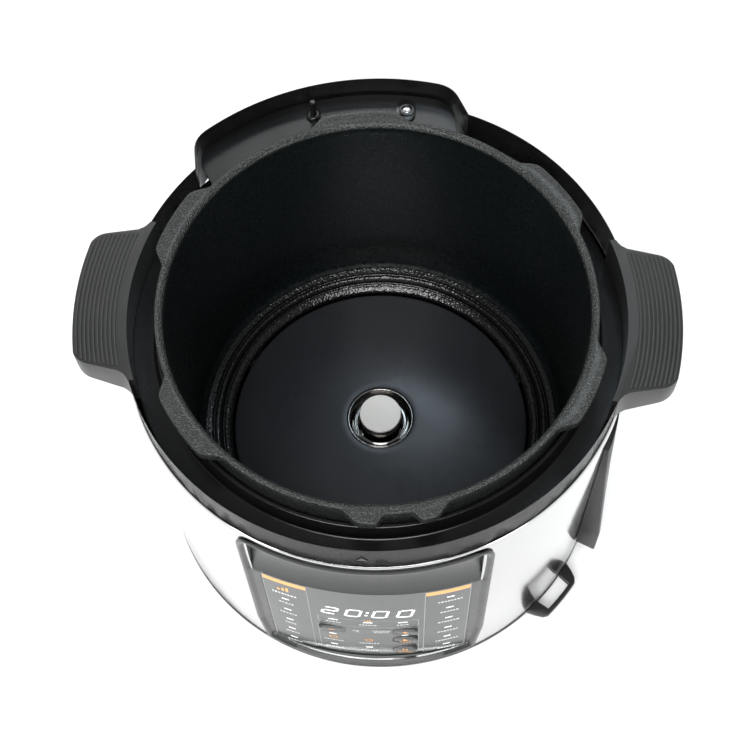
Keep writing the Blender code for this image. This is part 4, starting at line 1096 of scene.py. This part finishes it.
columns = rows = 150
bezel = bmesh.new()
bmesh.ops.create_grid(bezel, x_segments=columns, y_segments=rows, size=0.5)
for vert in bezel.verts:
    across_share, up_share = vert.co.x * 2, vert.co.y + 0.5
    z = bezel_low + (bezel_high - bezel_low) * up_share
    azimuth = across_share * frame_half(z)
    vert.co = polar(frame_depth(azimuth, z), -90 + azimuth, z)
bmesh.ops.recalc_face_normals(bezel, faces=bezel.faces)
outward = sum((f.normal.y for f in bezel.faces)) < 0
if not outward:
    bmesh.ops.reverse_faces(bezel, faces=bezel.faces)
bmesh.ops.solidify(bezel, geom=list(bezel.faces), thickness=0.0016)
bezel_piece = finish_piece(
    "panel_frame", bezel, bezel_plastic, stands_for=["panel_bezel"], sharp=60,
)

# %% [markdown]
# The film is a thin curved sheet with an opening for each key. The keys are small caps with cut corners that stand
# just behind the film's front, and each rides on its own body.

# %% The film and the keys
def curved_sheet(x0, x1, z0, z1, front, thick, columns=40):
    bm = bmesh.new()
    bmesh.ops.create_grid(bm, x_segments=columns, y_segments=1, size=0.5)
    for vert in bm.verts:
        x, z = x0 + (x1 - x0) * (vert.co.x + 0.5), z0 + (z1 - z0) * (vert.co.y + 0.5)
        vert.co = (x, film_y(x, -front), z)
    raised = bmesh.ops.extrude_face_region(bm, geom=list(bm.faces))["geom"]
    bmesh.ops.translate(bm, vec=(0, thick, 0), verts=[g for g in raised if isinstance(g, bmesh.types.BMVert)])
    bmesh.ops.recalc_face_normals(bm, faces=bm.faces)
    return bm


def key_block(x, z, wide, tall, y0, y1, bevel=0.0):
    corner = min(wide, tall) * 0.45
    line = []
    for sx, sz in ((1, 1), (-1, 1), (-1, -1), (1, -1)):
        pair = [(x + sx * wide, z + sz * (tall - corner)), (x + sx * (wide - corner), z + sz * tall)]
        line += pair if sx * sz > 0 else pair[::-1]
    bm = slab(line, -y1, -y0, bevel, 2, top_only=True)
    bmesh.ops.rotate(bm, cent=(0, 0, 0), matrix=Matrix.Rotation(pi / 2, 3, "X"), verts=bm.verts)
    return bm


film = finish_piece(
    "panel_film", curved_sheet(-film_x, film_x, film_low, film_high, 0.0, 0.0009), overlay_film,
    stands_for=["panel_overlay"],
)
key_places = {}
for key in ("key_minus", "key_plus", "key_start", "key_stop"):
    low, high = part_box(key)
    key_places[key] = ((low.x + high.x) / 2, (low.z + high.z) / 2, (high.x - low.x) / 2, (high.z - low.z) / 2)
    x, z, wide, tall = key_places[key]
    cut(film, key_block(x, z, wide + 0.0004, tall + 0.0004, -0.15, -0.12))
    cut(bezel_piece, key_block(x, z, wide + 0.0004, tall + 0.0004, -0.15, -0.12))
    cap = key_block(x, z, wide, tall, low.y, low.y + 0.0018, 0.0004)
    add_to(cap, key_block(x, z, wide - 0.0017, tall - 0.0017, low.y + 0.0016, high.y))
    finish_piece(key + "_cap", cap, key_plastic, body=key, stands_for=[key])
print("keys at", {k: [round(1000 * v, 1) for v in p[:2]] for k, p in key_places.items()})

# %% [markdown]
# ## The print on the panel
# The print is white, orange and grey ink and the lit digits. Each ink is one thin piece that lies on the film.
# A flat shape is drawn in x and z, cut into narrow strips, and bent to the film. The words are left out: rows of
# short bars stand for them.

# %% Inks and lit segments
def ink(name, colour, glow=0.0, gloss=0.35):
    made = coat(name, moulded, {"Colour": (*colour, 1), "Gloss": gloss, "Depth": 0.02, "Drift": 0.03})
    if glow:
        made.node_tree.nodes["Principled BSDF"].inputs["Emission Color"].default_value = (*colour, 1)
        made.node_tree.nodes["Principled BSDF"].inputs["Emission Strength"].default_value = glow
    return made


white_ink = ink("white_ink", (0.62, 0.64, 0.63))
orange_ink = ink("orange_ink", (0.80, 0.38, 0.09))
grey_ink = ink("grey_ink", (0.30, 0.31, 0.31))
dark_ink = ink("dark_ink", (0.018, 0.019, 0.019))
field_ink = ink("field_ink", (0.085, 0.088, 0.088))
lit_white = ink("lit_white", (0.93, 0.95, 0.93), glow=0.55)


def bar(x, z, wide, tall, lean=0.0):
    shift = lean * tall / 2
    return [
        (x - wide / 2 - shift, z - tall / 2), (x + wide / 2 - shift, z - tall / 2),
        (x + wide / 2 + shift, z + tall / 2), (x - wide / 2 + shift, z + tall / 2),
    ]


def print_on_film(name, shapes, material, body="housing", lift=0.00012):
    bm = bmesh.new()
    for shape in shapes:
        bm.faces.new([bm.verts.new((x, 0, z)) for x, z in shape])
    for i in range(-15, 16):
        geometry = list(bm.verts) + list(bm.edges) + list(bm.faces)
        bmesh.ops.bisect_plane(bm, geom=geometry, plane_co=(i * 0.004, 0, 0), plane_no=(1, 0, 0))
    raised = bmesh.ops.extrude_face_region(bm, geom=list(bm.faces))["geom"]
    bmesh.ops.translate(bm, vec=(0, 0.00008, 0), verts=[g for g in raised if isinstance(g, bmesh.types.BMVert)])
    for vert in bm.verts:
        vert.co.y += film_y(vert.co.x) - lift
    bmesh.ops.recalc_face_normals(bm, faces=bm.faces)
    return finish_piece(name, bm, material, body=body)


# %% The digits and the lamps
def digit(x, z, segments, tall=0.0120, wide=0.0080, stroke=0.0015, lean=0.16):
    half = tall / 2
    shapes = []
    for letter, (dx, dz, w, h) in {
        "a": (0, half, wide - stroke, stroke), "g": (0, 0, wide - stroke, stroke),
        "d": (0, -half, wide - stroke, stroke),
        "f": (-wide / 2, half / 2, stroke, half - stroke * 0.6),
        "b": (wide / 2, half / 2, stroke, half - stroke * 0.6),
        "e": (-wide / 2, -half / 2, stroke, half - stroke * 0.6),
        "c": (wide / 2, -half / 2, stroke, half - stroke * 0.6),
    }.items():
        if letter in segments:
            shapes.append(bar(x + dx + lean * dz, z + dz, w, h, lean))
    return shapes


lit = []
for x, segments in ((-0.0215, "abged"), (-0.0078, "abcdef"), (0.0080, "abcdef"), (0.0225, "abcdef")):
    lit += digit(x, 0.1085, segments)
lit += [bar(0.0005, 0.1112, 0.0016, 0.0018, 0.16), bar(-0.0004, 0.1058, 0.0016, 0.0018, 0.16)]
print_on_film("lit_digits", lit, lit_white)
rows_left = [0.1090, 0.0890, 0.0690, 0.0500, 0.0310]
rows_right = [0.1290, 0.1090, 0.0890, 0.0690, 0.0500, 0.0330]
dashes = [bar(-0.0477, z, 0.0043, 0.0013) for z in rows_left] + [bar(0.0480, z, 0.0043, 0.0013) for z in rows_right]
dashes += [bar(x, 0.0915, 0.0056, 0.0012) for x in (-0.0203, 0.0003, 0.0209)]
dashes += [
    bar(-0.0216, 0.0615, 0.0043, 0.0012), bar(-0.0216, 0.0390, 0.0043, 0.0012), bar(0.0004, 0.0395, 0.0043, 0.0012),
    bar(0.0225, 0.0645, 0.0043, 0.0011),
]
print_on_film("lamp_dashes", dashes, lit_white)


# %% [markdown]
# Rows of short bars of mixed widths read as small print from a hand's distance, and say nothing.

# %% The small print, as bars
def greeked(x, z, widths, tall=0.0020, gap=0.0006):
    total = sum(widths) + gap * (len(widths) - 1)
    shapes, at = [], x - total / 2
    for width in widths:
        shapes.append(bar(at + width / 2, z, width, tall))
        at += width + gap
    return shapes


patterns = [
    (0.0014, 0.0010, 0.0017, 0.0009, 0.0013), (0.0010, 0.0015, 0.0011, 0.0014, 0.0009, 0.0013),
    (0.0012, 0.0016, 0.0010, 0.0012), (0.0015, 0.0009, 0.0013, 0.0011, 0.0012),
]
small = []
for i, z in enumerate(rows_left):
    small += greeked(-0.0477, z - 0.0075, patterns[i % 4])
for i, z in enumerate(rows_right):
    small += greeked(0.0480, z - 0.0075, patterns[(i + 1) % 4] + patterns[i % 4][:2])
for i, x in enumerate((-0.0203, 0.0003, 0.0209)):
    small += greeked(x, 0.0865, patterns[i], 0.0014)
for x in (-0.0216, 0.0004):
    small += greeked(
        x, 0.0480, patterns[1] + (0.0012,), 0.0014,
    ) + greeked(x, 0.0325, patterns[0] + (0.0015,), 0.0014)
small += greeked(0.0080, 0.0745, patterns[1], 0.0012) + greeked(0.0080, 0.0715, patterns[0], 0.0012)
small += greeked(-0.0477, 0.1185, patterns[1] + (0.0016, 0.0012), 0.0028)
print_on_film("small_print", small, white_ink)


# %% [markdown]
# Fine lines frame the two columns and the middle field. Each is a strip between a rounded rectangle and the same
# rectangle inset, built from straight bars and short corner bars.

# %% The frames and fields
def frame_line(x0, x1, z0, z1, thick=0.0004, corner=0.002, count=4):
    shapes = [
        bar((x0 + x1) / 2, z0, x1 - x0 - 2 * corner, thick), bar((x0 + x1) / 2, z1, x1 - x0 - 2 * corner, thick),
    ]
    shapes += [
        bar(x0, (z0 + z1) / 2, thick, z1 - z0 - 2 * corner), bar(x1, (z0 + z1) / 2, thick, z1 - z0 - 2 * corner),
    ]
    for cx, cz, start in (
        (x1 - corner, z1 - corner, 0), (x0 + corner, z1 - corner, 90), (x0 + corner, z0 + corner, 180),
        (x1 - corner, z0 + corner, 270),
    ):
        for i in range(count):
            a0, a1 = radians(start + 90 * i / count), radians(start + 90 * (i + 1) / count)
            near, far = corner - thick / 2, corner + thick / 2
            shapes.append(
                [
                    (cx + near * cos(a0), cz + near * sin(a0)), (cx + far * cos(a0), cz + far * sin(a0)),
                    (cx + far * cos(a1), cz + far * sin(a1)), (cx + near * cos(a1), cz + near * sin(a1)),
                ],
            )
    return shapes


lines = frame_line(
    -0.0590, -0.0338, 0.0240, 0.1435, corner=0.0012,
) + frame_line(0.0336, 0.0590, 0.0240, 0.1435, corner=0.0012)
lines += frame_line(
    -0.0300, 0.0305, 0.0262, 0.0800, 0.0004, 0.0040,
) + frame_line(-0.0292, 0.0302, 0.0830, 0.0955, 0.0004, 0.0018)
print_on_film("frame_lines", lines, grey_ink, lift=0.00010)
fields = [bar(0.0009, 0.0730, 0.0280, 0.0100)]
print_on_film("slider_field", fields, field_ink, lift=0.00008)
print_on_film(
    "slider_ends", [bar(-0.0214, 0.0730, 0.0158, 0.0118), bar(0.0229, 0.0730, 0.0152, 0.0118)], dark_ink,
    lift=0.00006,
)
bands = [bar(-0.0464, 0.1400, 0.0246, 0.0058), bar(0.0463, 0.1400, 0.0246, 0.0058)]
icons = [
    bar(-0.0505, 0.1258, 0.0016, 0.0030), bar(-0.0480, 0.1268, 0.0016, 0.0050),
    bar(-0.0455, 0.1278, 0.0016, 0.0070),
]
icons += [
    bar(-0.0012, 0.0946, 0.0008, 0.0016), bar(0.0002, 0.0950, 0.0008, 0.0024), bar(0.0016, 0.0954, 0.0008, 0.0032),
]
icons += frame_line(
    -0.0238, -0.0194, 0.0530, 0.0565, 0.0006, 0.0008,
) + frame_line(-0.0018, 0.0026, 0.0530, 0.0570, 0.0006, 0.0018)
print_on_film("orange_print", bands + icons, orange_ink)
arrows = [
    [(-0.0075, 0.0730), (-0.0058, 0.0752), (-0.0052, 0.0748), (-0.0066, 0.0730)],
    [(-0.0066, 0.0730), (-0.0052, 0.0712), (-0.0058, 0.0708), (-0.0075, 0.0730)],
]
arrows.append([(-0.0086, 0.0730), (-0.0072, 0.0748), (-0.0078, 0.0752), (-0.0095, 0.0730)])
print_on_film("slider_arrows", arrows, white_ink, lift=0.00020)

# %% [markdown]
# The signs on the keys ride with the keys, so a pressed key takes its sign along.

# %% The signs on the keys
def print_on_key(key, shapes, material):
    x, z, wide, tall = key_places[key]
    bm = bmesh.new()
    for shape in shapes:
        bm.faces.new([bm.verts.new((x + dx, 0, z + dz)) for dx, dz in shape])
    raised = bmesh.ops.extrude_face_region(bm, geom=list(bm.faces))["geom"]
    bmesh.ops.translate(bm, vec=(0, 0.0001, 0), verts=[g for g in raised if isinstance(g, bmesh.types.BMVert)])
    bmesh.ops.translate(bm, vec=(0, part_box(key)[0].y - 0.00012, 0), verts=bm.verts)
    bmesh.ops.recalc_face_normals(bm, faces=bm.faces)
    finish_piece(key + "_sign", bm, material, body=key)


print_on_key("key_minus", [bar(0, 0, 0.0036, 0.0008)], orange_ink)
print_on_key(
    "key_plus", [bar(0, 0, 0.0036, 0.0008), bar(0, 0.0012, 0.0008, 0.0016), bar(0, -0.0012, 0.0008, 0.0016)],
    orange_ink,
)
print_on_key(
    "key_start",
    [[(-0.0012, -0.0006), (0.0018, 0.0012), (-0.0012, 0.0030)]] + greeked(0, -0.0032, patterns[2], 0.0010),
    orange_ink,
)
print_on_key(
    "key_stop",
    [
        bar(-0.0010, 0.0012, 0.0009, 0.0032), bar(0.0010, 0.0012, 0.0009, 0.0032),
    ] + greeked(0, -0.0032, patterns[3], 0.0010),
    orange_ink,
)

# %% [markdown]
# A small triangle on the front of the band shows where the lid's mark has to stop.

# %% The mark on the band
mark = bmesh.new()
mark.faces.new([mark.verts.new(p) for p in ((-0.0030, 0, 0.2095), (0.0030, 0, 0.2095), (0.0, 0, 0.2135))])
raised = bmesh.ops.extrude_face_region(mark, geom=list(mark.faces))["geom"]
bmesh.ops.translate(mark, vec=(0, 0.0006, 0), verts=[g for g in raised if isinstance(g, bmesh.types.BMVert)])
bmesh.ops.translate(mark, vec=(0, -rim_radius - 0.0006, 0), verts=mark.verts)
bmesh.ops.recalc_face_normals(mark, faces=mark.faces)
finish_piece("lid_mark", mark, bezel_plastic)

# %% [markdown]
# ## The pieces that stay as CAD
# The feet and the inner parts keep their CAD shapes. Each gets the finish of its slot, so that nothing inside is
# left plain when the base is opened in the model.

# %% Finish the carried-over nodes
slot_finish = {
    "black_plastic": base_plastic, "steel": shell_steel, "rubber": foot_rubber, "pot_enamel": pot_enamel,
    "plate": plate_coat,
    "aluminium": cap_metal, "element": element_metal, "spring_steel": sprung_steel, "zinc_sheet": zinc,
    "panel_gloss": bezel_plastic,
    "overlay": overlay_film, "key": key_plastic, "board": board_green, "component": component_black,
    "display": display_black,
    "contact": contact_brass,
}
node_slot = {row["node"]: row["material_slot"] for row in frame["record"]["subparts"]}
for node, obj in frame["nodes"].items():
    obj.data.materials.clear()
    obj.data.materials.append(slot_finish[node_slot[node]])
print("CAD nodes shown:", sum(1 for o in frame["nodes"].values() if not o.hide_render), "of", len(frame["nodes"]))

# %% [markdown]
# ## The size
# The visual model has to stay in the CAD model's box, so the visual box is measured and its size is printed.

# %% Print the visual box and finish
low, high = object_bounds()
print("visual box in mm:", [round(1000 * (h - l), 1) for l, h in zip(low, high)])
